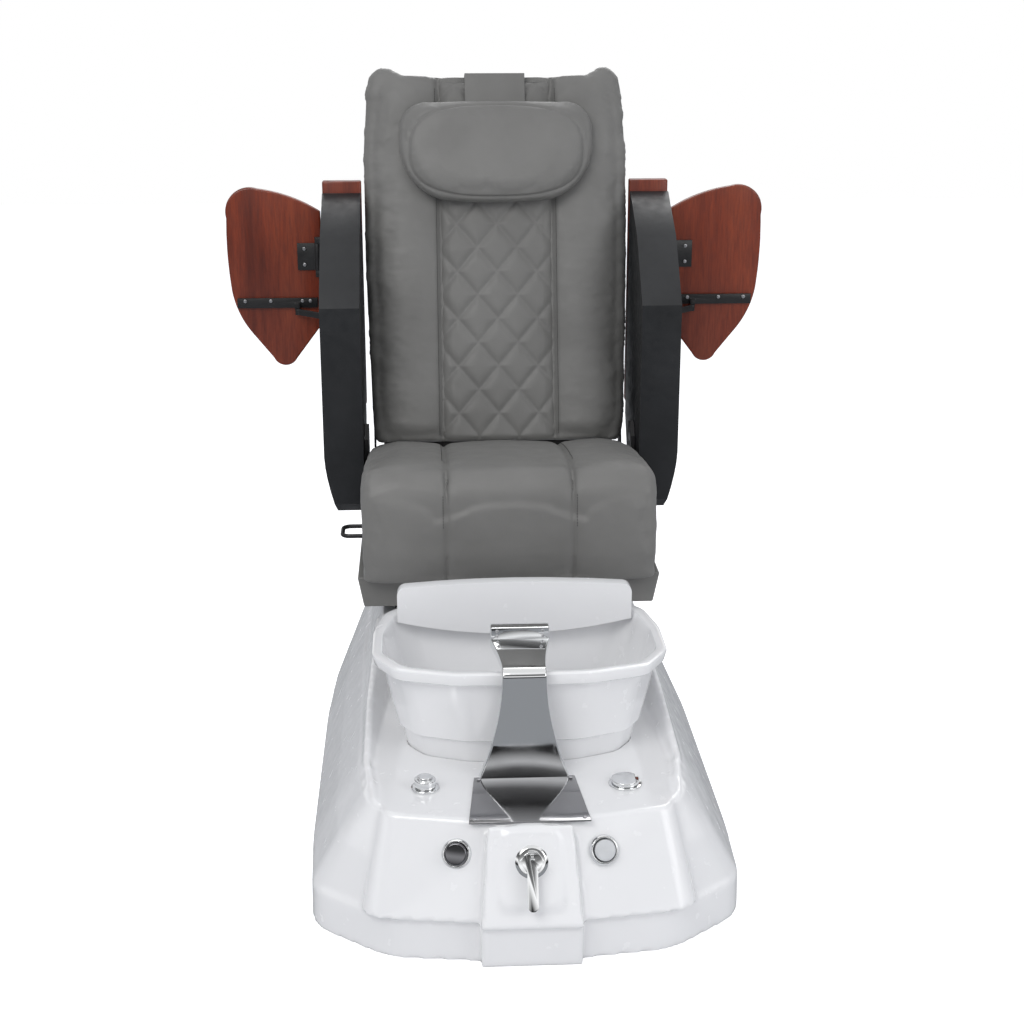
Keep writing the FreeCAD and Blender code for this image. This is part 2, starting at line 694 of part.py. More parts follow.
def make_controls():
    """Bezels, valve, knob, button, faucet lever, sprayer and drain control."""
    bezels = []
    for place in (-1, 1):
        origin, turn = console_frame(place)
        outer = float(s.bezel_radius)
        bore = float(s.stem_radius) + 0.6
        height = float(s.bezel_depth)
        lip = float(s.knob_radius) + 1.5
        bezels.append(turned(f"bezel_{place + 1}", [
            (bore, -3), (outer, -3), (outer, height * 0.4), (outer - 3, height), (lip, height),
            (lip, 2), (bore, 2)], origin, turn).Shape.cut(subparts[0].Shape))
    keep(feature("control_bezels", Part.makeCompound([
        max(bezel.Solids, key=lambda solid: solid.Volume) for bezel in bezels])))

    origin, turn = console_frame(-1)
    radius = float(s.knob_radius)
    length = float(s.knob_length)
    stem = float(s.stem_radius)
    gap = float(s.slack)
    keep(turned("left_knob", [
        (0, -float(s.stem_length)), (stem, -float(s.stem_length)), (stem, 2 + gap), (radius, 2 + gap),
        (radius, length - 2), (radius - 2, length), (0, length)], origin, turn))

    origin, turn = console_frame(1)
    radius = float(s.button_radius)
    height = float(s.button_length)
    keep(turned("air_button", [
        (0, -float(s.stem_length)), (stem, -float(s.stem_length)), (stem, 7), (radius, 7),
        (radius, height + 3), (radius - 3, height + 5), (0, height + 5.5)], origin, turn))

    origin, turn = console_frame(0)
    radius = float(s.escutcheon_radius)
    hub = float(s.hub_radius)
    depth = float(s.escutcheon_depth)
    fit = float(s.running_fit)
    keep(turned("faucet_escutcheon", [
        (hub * 0.6 + fit, 0), (radius, 0), (radius, depth * 0.35), (radius - 8, depth),
        (hub * 0.6 + fit, depth)], origin, turn))
    crown = depth + float(s.hub_length) * 0.5
    top = crown + gap
    width = float(s.lever_width)
    reach = float(s.lever_length)
    thick = float(s.lever_thickness)
    pin_y = float(s.lever_pin_y)
    pin_z = top + thick / 2
    pin = Part.makeCylinder(2, width - 2, Vector(1 - width / 2, pin_y, pin_z), X_AXIS)
    tab = Part.makeBox(5, 6, thick - 1 + gap, Vector(-2.5, pin_y - 3, crown))
    barrel = turned("hub_barrel", [
        (0, -28), (hub * 0.6, -28), (hub * 0.6, depth + gap), (hub, depth + gap), (hub, crown), (0, crown)],
        Vector(), Rotation())
    swivel = feature("faucet_hub", barrel.Shape.fuse([tab, pin]))
    cap = Part.makeCylinder(hub, thick, Vector(0, 0, top), Z_AXIS)
    bar = Part.makeBox(width, reach, thick, Vector(-width / 2, -reach, top))
    tip = Part.makeCylinder(width / 2, thick, Vector(0, -reach, top), Z_AXIS)
    heel = Part.makeBox(2 * hub, hub, thick, Vector(-hub, pin_y + 3.5, top))
    relief = Part.makeBox(2 * hub, hub, 1.5, Vector(-hub, pin_y, top))
    notch = Part.makeBox(6, hub, thick, Vector(-3, pin_y - 7, top))
    bore = Part.makeCylinder(2 + fit, 2 * hub, Vector(-hub, pin_y, pin_z), X_AXIS)
    handle = feature("faucet_lever", cap.fuse([bar, tip]).cut([heel, relief, notch, bore]).removeSplitter())
    for piece in (swivel, handle):
        piece.Placement = Placement(origin, turn)
        keep(piece)
    valve = Part.makeCylinder(24, 46, Vector(0, 0, -76), Z_AXIS)
    socket = Part.makeCylinder(hub * 0.6 + 3, 30, Vector(0, 0, -32), Z_AXIS)
    socket = socket.cut(Part.makeCylinder(hub * 0.6 + fit, 31, Vector(0, 0, -30), Z_AXIS))
    socket = socket.cut(Part.makeCylinder(hub * 0.6 + 4, 24, Vector(0, 0, -9), Z_AXIS))
    sides = Part.makeCylinder(11, 110, Vector(-55, 0, -54), X_AXIS)
    valve = feature("mixing_valve", valve.fuse([socket, sides]).removeSplitter())
    valve.Placement = Placement(origin, turn)
    keep(valve)

    deck = s.deck_height
    x = s.deck_control_x
    y = -s.deck_control_y
    collar = rod("socket_flange", s.sprayer_radius + 6, -x, y, (deck, deck + 4))
    sleeve = rod("socket_sleeve", s.stem_radius + 3, -x, y, (deck - 40, deck + 4))
    bore = rod("socket_bore", s.stem_radius + s.running_fit, -x, y, (deck - 41, deck + 5))
    keep(cut("sprayer_socket", fuse("socket_body", [collar, sleeve]), bore))
    stem = rod("sprayer_stem", s.stem_radius, -x, y, (deck - 75, deck + 5))
    head = rod("sprayer_head", s.sprayer_radius, -x, y, (deck + 4 + s.slack, deck + 4 + s.sprayer_height))
    dome = rod("sprayer_dome", s.sprayer_radius - 6, -x, y,
               (deck + s.sprayer_height, deck + s.sprayer_height + 9))
    keep(fuse("hand_sprayer", [stem, head, dome]))

    collar = rod("drain_flange", s.drain_knob_radius + 5, x, y, (deck, deck + 3))
    sleeve = rod("drain_sleeve", s.stem_radius + 3, x, y, (deck - 40, deck + 3))
    bore = rod("drain_bore", s.stem_radius + s.running_fit, x, y, (deck - 41, deck + 4))
    keep(cut("drain_bezel", fuse("drain_collar", [collar, sleeve]), bore))
    stem = rod("drain_stem", s.stem_radius, x, y, (deck - 62, deck + 5))
    head = rod("drain_head", s.drain_knob_radius, x, y, (deck + 3 + s.slack, deck + 11))
    keep(fuse("drain_knob", [stem, head]))


def make_plumbing():
    """Drain with its plug, supply tails, jet pump and control box."""
    drain_y = s.drain_y
    flange = rod("drain_strainer", 30, 0, drain_y, (s.tub_floor, s.tub_floor + 3))
    tail = rod("drain_tail", s.drain_pipe_radius, 0, drain_y, (s.pipe_end, s.tub_floor + 3))
    bore = rod("drain_pipe_bore", s.drain_pipe_radius - 3, 0, drain_y, (s.pipe_end - 1, s.tub_floor + 4))
    neck = rod("drain_neck", s.drain_pipe_radius + 1, 0, drain_y,
               (s.pipe_end + s.tail_grip, s.pipe_end + s.tail_grip + 4))
    core = rod("drain_neck_core", s.drain_pipe_radius - 1.5, 0, drain_y,
               (s.pipe_end + s.tail_grip - 1, s.pipe_end + s.tail_grip + 5))
    trimmed = cut("drain_pipe_grooved", fuse("drain_pipe_body", [flange, tail]), cut("drain_groove", neck, core))
    keep(cut("drain_pipe", trimmed, bore))
    stopper = rod("plug_cap", s.drain_pipe_radius + 4, 0, drain_y, (s.tub_floor + 3.3, s.tub_floor + 8))
    stem = rod("plug_stem", 4, 0, drain_y, (s.tub_floor - 40, s.tub_floor + 4))
    guide = rod("plug_guide", s.drain_pipe_radius - 3.3, 0, drain_y, (s.tub_floor - 30, s.tub_floor - 24))
    keep(fuse("drain_plug", [stopper, stem, guide]))

    origin, turn = console_frame(0)
    port = origin + turn.multVec(Vector(0, 0, -54))
    tails = []
    for side in (-1, 1):
        x = side * (s.valve_half_width + s.tail_radius)
        end = Size(port.z + 11, repr(port.z + 11))
        pipe = rod(f"supply_tail_{side + 1}", s.tail_radius, x, port.y, (s.pipe_end, end))
        bore = rod(f"supply_bore_{side + 1}", s.tail_radius - 2, x, port.y, (s.pipe_end - 1, end - 8))
        neck = rod(f"supply_neck_{side + 1}", s.tail_radius + 1, x, port.y,
                   (s.pipe_end + s.tail_grip, s.pipe_end + s.tail_grip + 3))
        core = rod(f"supply_core_{side + 1}", s.tail_radius - 0.9, x, port.y,
                   (s.pipe_end + s.tail_grip - 1, s.pipe_end + s.tail_grip + 4))
        groove = cut(f"supply_groove_{side + 1}", neck, core)
        tails.append(cut(f"supply_pipe_{side + 1}", cut(f"supply_grooved_{side + 1}", pipe, groove), bore))
    keep(group("supply_pipes", tails))

    jet_z = s.jet_height
    housing = rod("jet_housing", s.jet_radius + 8, 0, (jet_wall - 14, jet_wall + 46), jet_z)
    chamber = rod("jet_chamber", s.jet_radius, 0, (jet_wall - 20, jet_wall + 40), jet_z)
    motor = rod("jet_motor", s.jet_radius + 2, 0, (jet_wall + 46, jet_wall + 130), jet_z)
    shaft = rod("jet_shaft_bore", 3 + s.running_fit, 0, (jet_wall + 39, jet_wall + 60), jet_z)
    keep(cut("jet_pump", cut("jet_trimmed", fuse("jet_body", [housing, motor]), tub_outer),
             fuse("jet_hollow", [chamber, shaft])))
    hub = rod("impeller_hub", 8, 0, (jet_wall + 4, jet_wall + 36), jet_z)
    axle = rod("impeller_axle", 3, 0, (jet_wall + 30, jet_wall + 58), jet_z)
    blades = []
    for index in range(4):
        blade = block(f"impeller_blade_{index}", (as_size(0), s.jet_radius - 4),
                      (jet_wall + 8, jet_wall + 26), (as_size(-1.5), as_size(1.5)))
        turn = Rotation(Y_AXIS, 45 + 90 * index)
        blade.Placement = Placement(point(0, jet_wall + 8, jet_z), turn)
        for axis, number in (("x", as_size(0)), ("y", jet_wall + 8), ("z", jet_z)):
            blade.setExpression(f"Placement.Base.{axis}", number.text)
        blades.append(blade)
    keep(fuse("jet_impeller", [hub, axle] + blades))
    disc = rod("grille_disc", s.jet_radius + 12, 0, (jet_wall - 18, jet_wall - 9), jet_z)
    holes = [rod("grille_hole_centre", 4, 0, (jet_wall - 23, jet_wall), jet_z)]
    for index in range(8):
        angle = math.radians(45 * index)
        pitch = float(s.jet_radius) * 0.62
        holes.append(rod(f"grille_hole_{index}", 5, pitch * math.cos(angle),
                         (jet_wall - 23, jet_wall), jet_z + pitch * math.sin(angle)))
    keep(cut("jet_grille", cut("grille_trimmed", disc, tub_outer_ring), fuse("grille_holes", holes)))

    ceiling = s.pedestal_height - s.shell_wall
    keep(block("control_box", (as_size(-90), as_size(90)), (as_size(150), as_size(270)), (ceiling - 60, ceiling)))


def make_chassis():
    """Steel posts inside the moulding and the frame and rails on top of it."""
    ceiling = s.pedestal_height - s.shell_wall
    posts = []
    for side in (-1, 1):
        x = sided(side, s.rail_x - 40, s.rail_x - 10)
        for row, y in enumerate((s.chassis_front, s.chassis_front + s.chassis_length)):
            posts.append(block(f"post_{side + 1}_{row}", x, (y, y + s.tube_width), (as_size(0), ceiling)))
        posts.append(block(f"chassis_side_{side + 1}", x,
                           (s.chassis_front + s.tube_width, s.chassis_front + s.chassis_length),
                           (as_size(60), as_size(90))))
    for row, y in enumerate((s.chassis_front, s.chassis_front + s.chassis_length)):
        posts.append(block(f"chassis_cross_{row}", (10 - s.rail_x, s.rail_x - 10), (y, y + s.tube_width),
                           (ceiling - 100, ceiling - 70)))
    keep(fuse("chassis", posts))

    top = s.pedestal_height + s.base_frame_height
    bars = []
    for side in (-1, 1):
        bars.append(block(f"frame_bar_{side + 1}", sided(side, s.rail_x - 15, s.rail_x + 15),
                          (s.rail_front, s.rail_front + s.rail_length), (s.pedestal_height, top)))
    for row, y in enumerate((s.rail_front + 40, s.rail_front + s.rail_length - 70)):
        bars.append(block(f"frame_cross_{row}", (15 - s.rail_x, s.rail_x - 15), (y, y + s.tube_width),
                          (s.pedestal_height, top)))
    keep(fuse("base_frame", bars))
    rails = []
    runners = []
    rail_top = top + s.rail_height
    half = s.rail_width / 2
    wide = s.runner_width / 2
    for side in (-1, 1):
        rails.append(block(f"rail_{side + 1}", sided(side, s.rail_x - half, s.rail_x + half),
                           (s.rail_front, s.rail_front + s.rail_length), (top, rail_top)))
        outer = block(f"runner_outer_{side + 1}", sided(side, s.rail_x - wide, s.rail_x + wide),
                      (s.rail_front + 6, s.rail_front + s.rail_length - 6), (top + 6, rail_top + 8))
        groove = block(f"runner_groove_{side + 1}",
                       sided(side, s.rail_x - half - s.slack, s.rail_x + half + s.slack),
                       (s.rail_front, s.rail_front + s.rail_length), (top + 5, rail_top + s.slack))
        runners.append(cut(f"runner_{side + 1}", outer, groove))
    keep(group("slide_rails", rails))
    keep(group("seat_runners", runners))


def make_access_panel():
    """Louvred cover on the sloping rear face of the base."""
    plinth = float(s.plinth_height)
    deck = float(s.deck_height)
    rear = float(s.base_rear)
    low_y = rear * (1 - float(s.plinth_inset) / float(s.base_half_width))
    high_y = rear - 70
    lean = math.degrees(math.atan2(low_y - high_y, deck - plinth))
    half = 150
    plate = Part.makeBox(2 * half, 3, 110, Vector(-half, 0, -55))
    slots = [Part.makeBox(150, 5, 5, Vector(-75, -1, -30 + 15 * row)) for row in range(5)]
    panel = feature("rear_access_panel", plate.cut(slots))
    gland_body = Part.makeCylinder(13, 6, Vector(half + 24, 0, -20), Y_AXIS)
    gland_neck = Part.makeCylinder(9, 20, Vector(half + 24, 0, -20), Y_AXIS)
    gland_bore = Part.makeCylinder(4.5, 22, Vector(half + 24, -1, -20), Y_AXIS)
    gland = feature("power_gland", gland_body.fuse(gland_neck).cut(gland_bore))
    for piece in (panel, gland):
        middle = Vector(0, (low_y + high_y) / 2, (plinth + deck) / 2)
        piece.Placement = Placement(middle, Rotation(X_AXIS, lean))
        keep(piece)


def under_cushion(y):
    """Height of the seat cushion's underside at a place along Y."""
    front = float(s.apron_depth) - float(s.seat_front)
    slope = (float(s.seat_rear_top) - float(s.seat_thickness) - float(s.pan_front)) / (float(s.seat_rear) - front)
    return float(s.pan_front) + (float(y) - front) * slope


def make_seat():
    """Sliding seat: frame with pan and lugs, skirt, cushion, arm brackets and release lever."""
    low = s.pedestal_height + s.base_frame_height + s.rail_height + 8
    high = low + s.frame_tube
    front = s.apron_depth - s.seat_front + 4
    rear = s.frame_rear
    wide = s.frame_half_width
    tube = s.tube_width
    parts = []
    for side in (-1, 1):
        parts.append(block(f"frame_side_{side + 1}", sided(side, wide - tube, wide), (front, rear), (low, high)))
    for name, y, top in (("front", front, high), ("middle", s.arm_pivot_y - 220, high),
                         ("rear", rear - tube, low + s.frame_tube / 2)):
        parts.append(block(f"frame_{name}", (tube - wide, wide - tube), (y, y + tube), (low, top)))
    start = float(front)
    stop = float(rear) - 30
    pan_thick = 10
    slack = float(s.slack)
    inner = float(wide) - 34
    pan = [(start, under_cushion(start) - slack), (stop, under_cushion(stop) - slack),
           (stop, under_cushion(stop) - slack - pan_thick), (start, under_cushion(start) - slack - pan_thick)]
    solids = [side_prism(pan, -inner, inner)]
    web = [(start, float(high) - 5), (stop, float(high) - 5), (stop, under_cushion(stop) - pan_thick),
           (start, under_cushion(start) - pan_thick)]
    hinge_y = float(s.back_hinge_y)
    hinge_z = float(s.back_hinge_z)
    lug = [(float(rear) - 30, float(low)), (float(rear) + 10, float(low)), (hinge_y + 16, hinge_z - 16),
           (hinge_y + 16, hinge_z + 14), (hinge_y - 18, hinge_z + 14), (hinge_y - 30, hinge_z - 52),
           (float(rear) - 30, float(high) + 4)]
    outer = float(wide) - 14
    pin = float(s.hinge_radius)
    for side in (-1, 1):
        x0, x1 = sorted((side * (inner - 6), side * inner))
        solids.append(side_prism(web, x0, x1))
        x0, x1 = sorted((side * (outer - 8), side * outer))
        solids.append(side_prism(lug, x0, x1))
        x0, x1 = sorted((side * (outer - 20), side * outer))
        solids.append(Part.makeCylinder(pin, x1 - x0, Vector(x0, hinge_y, hinge_z), X_AXIS))
    lever_y = float(s.lever_centre)
    lever_x = -(float(wide) - 22)
    for y in (lever_y - 28, lever_y + 22):
        post = Part.makeBox(14, 6, float(s.loop_height) + 8 - float(high) + 4,
                            Vector(lever_x - 7, y, float(high) - 4))
        bore = Part.makeCylinder(float(s.loop_radius) + float(s.running_fit), 8,
                                 Vector(lever_x, y - 1, float(s.loop_height)), Y_AXIS)
        solids.append(post.cut(bore))
    anchor_y = float(s.actuator_y)
    anchor_z = float(s.actuator_z)
    beam = Part.makeBox(2 * inner, 14, 12, Vector(-inner, anchor_y - 26, anchor_z - 6))
    solids.append(beam)
    for side in (-1, 1):
        x0, x1 = sorted((side * 26, side * 32))
        solids.append(Part.makeBox(x1 - x0, 40, 24, Vector(x0, anchor_y - 28, anchor_z - 12)))
    solids.append(Part.makeCylinder(5, 60, Vector(-30, anchor_y, anchor_z), X_AXIS))
    irregular = feature("seat_frame_plates", solids[0].fuse(solids[1:]))
    keep(fuse("seat_frame", parts + [irregular]))

    wall = s.skirt_wall
    half = s.skirt_half_width
    top = s.apron_bottom
    panels = [block("skirt_front", (-half, half), (s.skirt_front, s.skirt_front + wall), (s.skirt_bottom, top))]
    for side in (-1, 1):
        panels.append(block(f"skirt_side_{side + 1}", sided(side, half - wall, half),
                            (s.skirt_front, s.frame_rear - 8), (s.skirt_bottom, top)))
        panels.append(block(f"skirt_flange_{side + 1}", sided(side, wide, half - wall),
                            (s.skirt_front + wall, s.arm_pivot_y - 60), (top - wall, top)))
    keep(fuse("seat_skirt", panels))

    plates = []
    for side in (-1, 1):
        x0, x1 = sorted((side * float(s.seat_rear_half_width + 2), side * float(s.arm_inner - 1.5)))
        pivot_y = float(s.arm_pivot_y)
        pivot_z = float(s.arm_pivot_z)
        outline = [(pivot_y - 45, float(low) + 2), (pivot_y + 20, float(low) + 2),
                   (pivot_y + 40, pivot_z - 40), (pivot_y + 30, pivot_z + 30), (pivot_y - 10, pivot_z + 38),
                   (pivot_y - 34, pivot_z + 10), (pivot_y - 45, pivot_z - 110)]
        plate = side_prism(outline, x0, x1)
        f0, f1 = sorted((side * float(wide), side * float(s.seat_rear_half_width + 2)))
        foot = side_prism([(pivot_y - 45, float(low) + 2), (float(rear), float(low) + 2),
                           (float(rear), float(high) - 4), (pivot_y - 45, float(high) - 4)], f0, f1)
        hole = Part.makeCylinder(float(s.pivot_pin_radius), 30, Vector(x0 - 10, pivot_y, pivot_z), X_AXIS)
        plates.append(plate.fuse(foot).cut(hole))
    keep(feature("arm_brackets", Part.makeCompound(plates)))
    pins = []
    for side in (-1, 1):
        pins.append(rod(f"pivot_pin_{side + 1}", s.pivot_pin_radius,
                        sided(side, s.seat_rear_half_width + 2, s.arm_inner + s.pin_reach),
                        s.arm_pivot_y, s.arm_pivot_z))
    keep(group("arm_pivot_pins", pins))

    keep(feature("seat_cushion", seat_cushion_shape()))

    x0 = lever_x
    tip = -float(s.loop_tip)
    radius = float(s.loop_radius)
    z = float(s.loop_height)
    span = 33
    corner = 16
    turn = corner * (1 - math.sqrt(0.5))
    path = Part.Wire([
        Part.LineSegment(Vector(x0, lever_y - span, z), Vector(tip + corner, lever_y - span, z)).toShape(),
        Part.Arc(Vector(tip + corner, lever_y - span, z), Vector(tip + turn, lever_y - span + turn, z),
                 Vector(tip, lever_y - span + corner, z)).toShape(),
        Part.LineSegment(Vector(tip, lever_y - span + corner, z),
                         Vector(tip, lever_y + span - corner, z)).toShape(),
        Part.Arc(Vector(tip, lever_y + span - corner, z), Vector(tip + turn, lever_y + span - turn, z),
                 Vector(tip + corner, lever_y + span, z)).toShape(),
        Part.LineSegment(Vector(tip + corner, lever_y + span, z), Vector(x0, lever_y + span, z)).toShape()])
    profile = Part.Wire(Part.makeCircle(radius, Vector(x0, lever_y - span, z), X_AXIS))
    loop = path.makePipeShell([profile], True, False)
    bar = Part.makeCylinder(radius, 2 * span + 2 * radius, Vector(x0, lever_y - span - radius, z), Y_AXIS)
    keep(feature("slide_lever", loop.fuse(bar)))


def seat_section(x, grow, lower):
    """Outline of the seat cushion at a place along X: apron, rounded nose, top and underside."""
    front = -float(s.seat_front) - grow
    top_front = float(s.seat_front_top) + grow - lower
    rear = float(s.seat_rear) - 2 + grow * 0.2
    top_rear = float(s.seat_rear_top) + grow - lower
    nose = 58
    inner = float(s.apron_depth) - float(s.seat_front)
    bottom = float(s.apron_bottom)
    turn = nose * (1 - math.sqrt(0.5))
    points = [Vector(x, front + 10, bottom), Vector(x, front, bottom + 60), Vector(x, front, top_front - nose),
              Vector(x, front + turn, top_front - turn), Vector(x, front + nose, top_front),
              Vector(x, rear, top_rear), Vector(x, rear, under_cushion(rear)),
              Vector(x, inner, under_cushion(inner)), Vector(x, inner, bottom)]
    middle = Vector(x, (points[4].y + points[5].y) / 2, (points[4].z + points[5].z) / 2 + 9)
    return Part.Wire([
        Part.LineSegment(points[0], points[1]).toShape(), Part.LineSegment(points[1], points[2]).toShape(),
        Part.Arc(points[2], points[3], points[4]).toShape(), Part.Arc(points[4], middle, points[5]).toShape(),
        Part.LineSegment(points[5], points[6]).toShape(), Part.LineSegment(points[6], points[7]).toShape(),
        Part.LineSegment(points[7], points[8]).toShape(), Part.LineSegment(points[8], points[0]).toShape()])


def seat_cushion_shape():
    """Seat cushion: three crowned panels with sewn channels between them, and drawn-in ends."""
    half = float(s.seat_half_width)
    seam = float(s.seam_x)
    stations = [(-half, -16, 10), (-half + 14, -3, 1), (-0.75 * half, 2, -3), (-seam - 14, 0, 0), (-seam, -5, 3),
                (-seam + 14, 0, 0), (0, 2, -2), (seam - 14, 0, 0), (seam, -5, 3), (seam + 14, 0, 0),
                (0.75 * half, 2, -3), (half - 14, -3, 1), (half, -16, 10)]
    sections = [seat_section(x, grow, lower) for x, grow, lower in stations]
    cushion = Part.makeLoft(sections, True, True)
    narrow = float(s.seat_rear_half_width)
    clear_y = float(s.arm_pivot_y) - 60
    relief = [Part.makeBox(20, 100, 300, Vector(x, clear_y, 400)) for x in (narrow, -narrow - 20)]
    return cushion.cut(relief)


def lean(piece):
    """Set a piece drawn upright (X across, -Y forward, Z up) into the leaning backrest."""
    piece.Placement = Placement(point(0, s.seat_rear, s.seat_rear_top), Rotation(X_AXIS, -float(s.back_lean)))
    return piece


def back_section(z, half, crown, thick, seam_depth):
    """Outline of the back cushion across X: two bolsters and a centre panel."""
    seam = min(float(s.seam_x), half * 0.5)
    back = thick
    side = half - 12
    front = [Vector(-side, 8, z), Vector(-seam, seam_depth, z), Vector(seam, seam_depth, z), Vector(side, 8, z)]
    bolster = (side + seam) / 2
    return Part.Wire([
        Part.Arc(front[0], Vector(-bolster, -crown, z), front[1]).toShape(),
        Part.Arc(front[1], Vector(0, -crown * 0.6, z), front[2]).toShape(),
        Part.Arc(front[2], Vector(bolster, -crown, z), front[3]).toShape(),
        Part.Arc(front[3], Vector(half, 8 + (back - 8) * 0.45, z), Vector(side, back, z)).toShape(),
        Part.LineSegment(Vector(side, back, z), Vector(-side, back, z)).toShape(),
        Part.Arc(Vector(-side, back, z), Vector(-half, 8 + (back - 8) * 0.45, z), front[0]).toShape()])


def make_back():
    """Reclining back: cushion, pillow, frame with guide rails, shell and massage drive."""
    length = float(s.back_length)
    wide = float(s.back_half_width)
    low = float(s.back_low_half_width)
    thick = float(s.back_padding)
    crown = float(s.back_crown)
    stations = [(4, low - 8, crown * 0.2, thick, 6), (40, low, crown, thick, 3), (220, low + 5, crown, thick, 2),
                (420, wide, crown, thick, 2), (660, wide, crown, thick, 2), (780, wide - 8, crown, thick, 2),
                (length + 6, wide - 26, crown * 0.4, thick, 6), (length + 22, wide - 44, -6, thick - 10, 14)]
    sections = [back_section(*station) for station in stations]
    top = length + 22
    dip = top - float(s.bolster_rise)
    edge = wide - 68
    notch = prism([Vector(x, -60, z) for x, z in (
        (-edge, top + 5), (-edge, top), (-edge + 24, dip + 6), (0, dip), (edge - 24, dip + 6), (edge, top),
        (edge, top + 5))], Vector(0, 140, 0))
    keep(lean(feature("back_cushion", Part.makeLoft(sections, True, True).cut(notch))))

    def pillow_outline(share, y):
        half = float(s.pillow_half_width) * share
        middle = (float(s.pillow_low) + float(s.pillow_high)) / 2
        rise = (float(s.pillow_high) - float(s.pillow_low)) / 2 * share
        top, bottom = middle + rise, middle - rise
        rim = 0.68 * half
        foot = 0.58 * half
        return Part.Wire([
            Part.Arc(Vector(-rim, y, top), Vector(0, y, top + 3), Vector(rim, y, top)).toShape(),
            Part.Arc(Vector(rim, y, top), Vector(half * 0.95, y, top - rise * 0.22),
                     Vector(half, y, top - rise * 0.62)).toShape(),
            Part.Arc(Vector(half, y, top - rise * 0.62), Vector(half * 0.86, y, bottom + rise * 0.42),
                     Vector(foot, y, bottom + 8)).toShape(),
            Part.Arc(Vector(foot, y, bottom + 8), Vector(0, y, bottom), Vector(-foot, y, bottom + 8)).toShape(),
            Part.Arc(Vector(-foot, y, bottom + 8), Vector(-half * 0.86, y, bottom + rise * 0.42),
                     Vector(-half, y, top - rise * 0.62)).toShape(),
            Part.Arc(Vector(-half, y, top - rise * 0.62), Vector(-half * 0.95, y, top - rise * 0.22),
                     Vector(-rim, y, top)).toShape()])

    near = -crown - 1
    depth = float(s.pillow_depth)
    pillow = Part.makeLoft([pillow_outline(0.93, near), pillow_outline(1.0, near - depth * 0.4),
                            pillow_outline(0.97, near - depth * 0.66), pillow_outline(0.86, near - depth * 0.9),
                            pillow_outline(0.62, near - depth)], True, True)
    keep(lean(feature("head_pillow", pillow)))
    high = float(s.pillow_high)
    strap = side_prism([(near - 22, high - 12), (near - 4, high + 14), (near, dip + 5.5), (thick - 3, dip + 5.5),
                        (thick - 3, dip + 2.5), (near + 3, dip + 2.5), (near - 1, high + 12),
                        (near - 20, high - 13)], -67, 67)
    strap = strap.cut(pillow)
    keep(lean(feature("pillow_strap", max(strap.Solids, key=lambda solid: solid.Volume))))

    start = float(s.back_padding) + float(s.slack)
    tube = 20
    ear = [(start - 14.5, -88), (start + 12, -88), (start + 26, -60), (start + 26, 60), (start, 60),
           (start, -2), (start - 14.5, -60)]
    inner = float(s.frame_half_width) - 34
    hinge = lean(feature("hinge_probe", Part.Shape(Part.Vertex(0, 0, 0))))
    spot = hinge.Placement.inverse().multVec(point(0, s.back_hinge_y, s.back_hinge_z))
    crank = hinge.Placement.inverse().multVec(point(0, s.back_hinge_y, s.back_hinge_z - s.crank_length))
    doc.removeObject(hinge.Name)
    solids = []
    bore_radius = float(s.hinge_radius) + float(s.running_fit)
    for side in (-1, 1):
        x0, x1 = sorted((side * (inner - 25), side * inner))
        solids.append(side_prism([(start, -10), (start, 762), (start + tube, 762), (start + tube, -10)], x0, x1))
        x0, x1 = sorted((side * inner, side * (inner + 11.5)))
        plate = side_prism(ear, x0, x1)
        solids.append(plate.cut(Part.makeCylinder(bore_radius, 40, Vector(x0 - 10, spot.y, spot.z), X_AXIS)))
        solids.append(Part.makeCylinder(float(s.guide_radius), 570, Vector(side * 110, start + 12, 185), Z_AXIS))
        x0, x1 = sorted((side * 18, side * 24))
        solids.append(side_prism([(start + 2, 0), (start + tube, 0), (crank.y + 11, crank.z + 4),
                                  (crank.y + 6, crank.z - 8), (crank.y - 6, crank.z - 8),
                                  (crank.y - 8, crank.z)], x0, x1))
    for z in (-10, 175, 742):
        solids.append(Part.makeBox(2 * (inner - 25), tube, tube, Vector(-(inner - 25), start, z)))
    solids.append(Part.makeCylinder(6, 48, Vector(-24, crank.y, crank.z), X_AXIS))
    keep(lean(feature("back_frame", solids[0].fuse(solids[1:]).removeSplitter())))

    deep = float(s.back_mid_depth)
    shallow = float(s.back_top_depth)
    wall = 4

    def shell_profile(inset):
        floor = -40 if inset else -6
        crest = length - 16 - inset
        return [(start - inset, floor), (start - inset, crest), (shallow - inset, crest),
                (deep - inset, 430), (deep - inset, 130), (deep - 46 - inset, floor)]

    outer = side_prism(shell_profile(0), -(low - 2), low - 2)
    hollow = side_prism(shell_profile(wall), -(low - 2 - wall), low - 2 - wall)
    keep(lean(feature("back_shell", outer.cut(hollow))))

    rest = float(s.carriage_rest)
    carriage = Part.makeBox(260, 20, 80, Vector(-130, start + 2, rest))
    window = Part.makeBox(150, 22, 56, Vector(-75, start + 1, rest + 12))
    bores = [Part.makeCylinder(float(s.guide_radius) + float(s.running_fit), 90,
                               Vector(side * 110, start + 12, rest - 5), Z_AXIS) for side in (-1, 1)]
    bores.append(Part.makeCylinder(5 + float(s.running_fit), 200, Vector(-100, start + 14, rest + 40), X_AXIS))
    keep(lean(feature("massage_carriage", carriage.cut([window] + bores))))
    half = [(5, 30), (9, 34), (13, 40), (13, 50), (9, 56), (5, 60), (5, 93), (0, 93)]
    axle = Vector(0, start + 14, rest + 40)
    outline = [axle + Vector(x, r, 0) for r, x in half] + [axle + Vector(-x, r, 0) for r, x in half[::-1]]
    keep(lean(feature("kneading_heads", Part.Face(polygon(outline)).revolve(axle, X_AXIS, 360))))


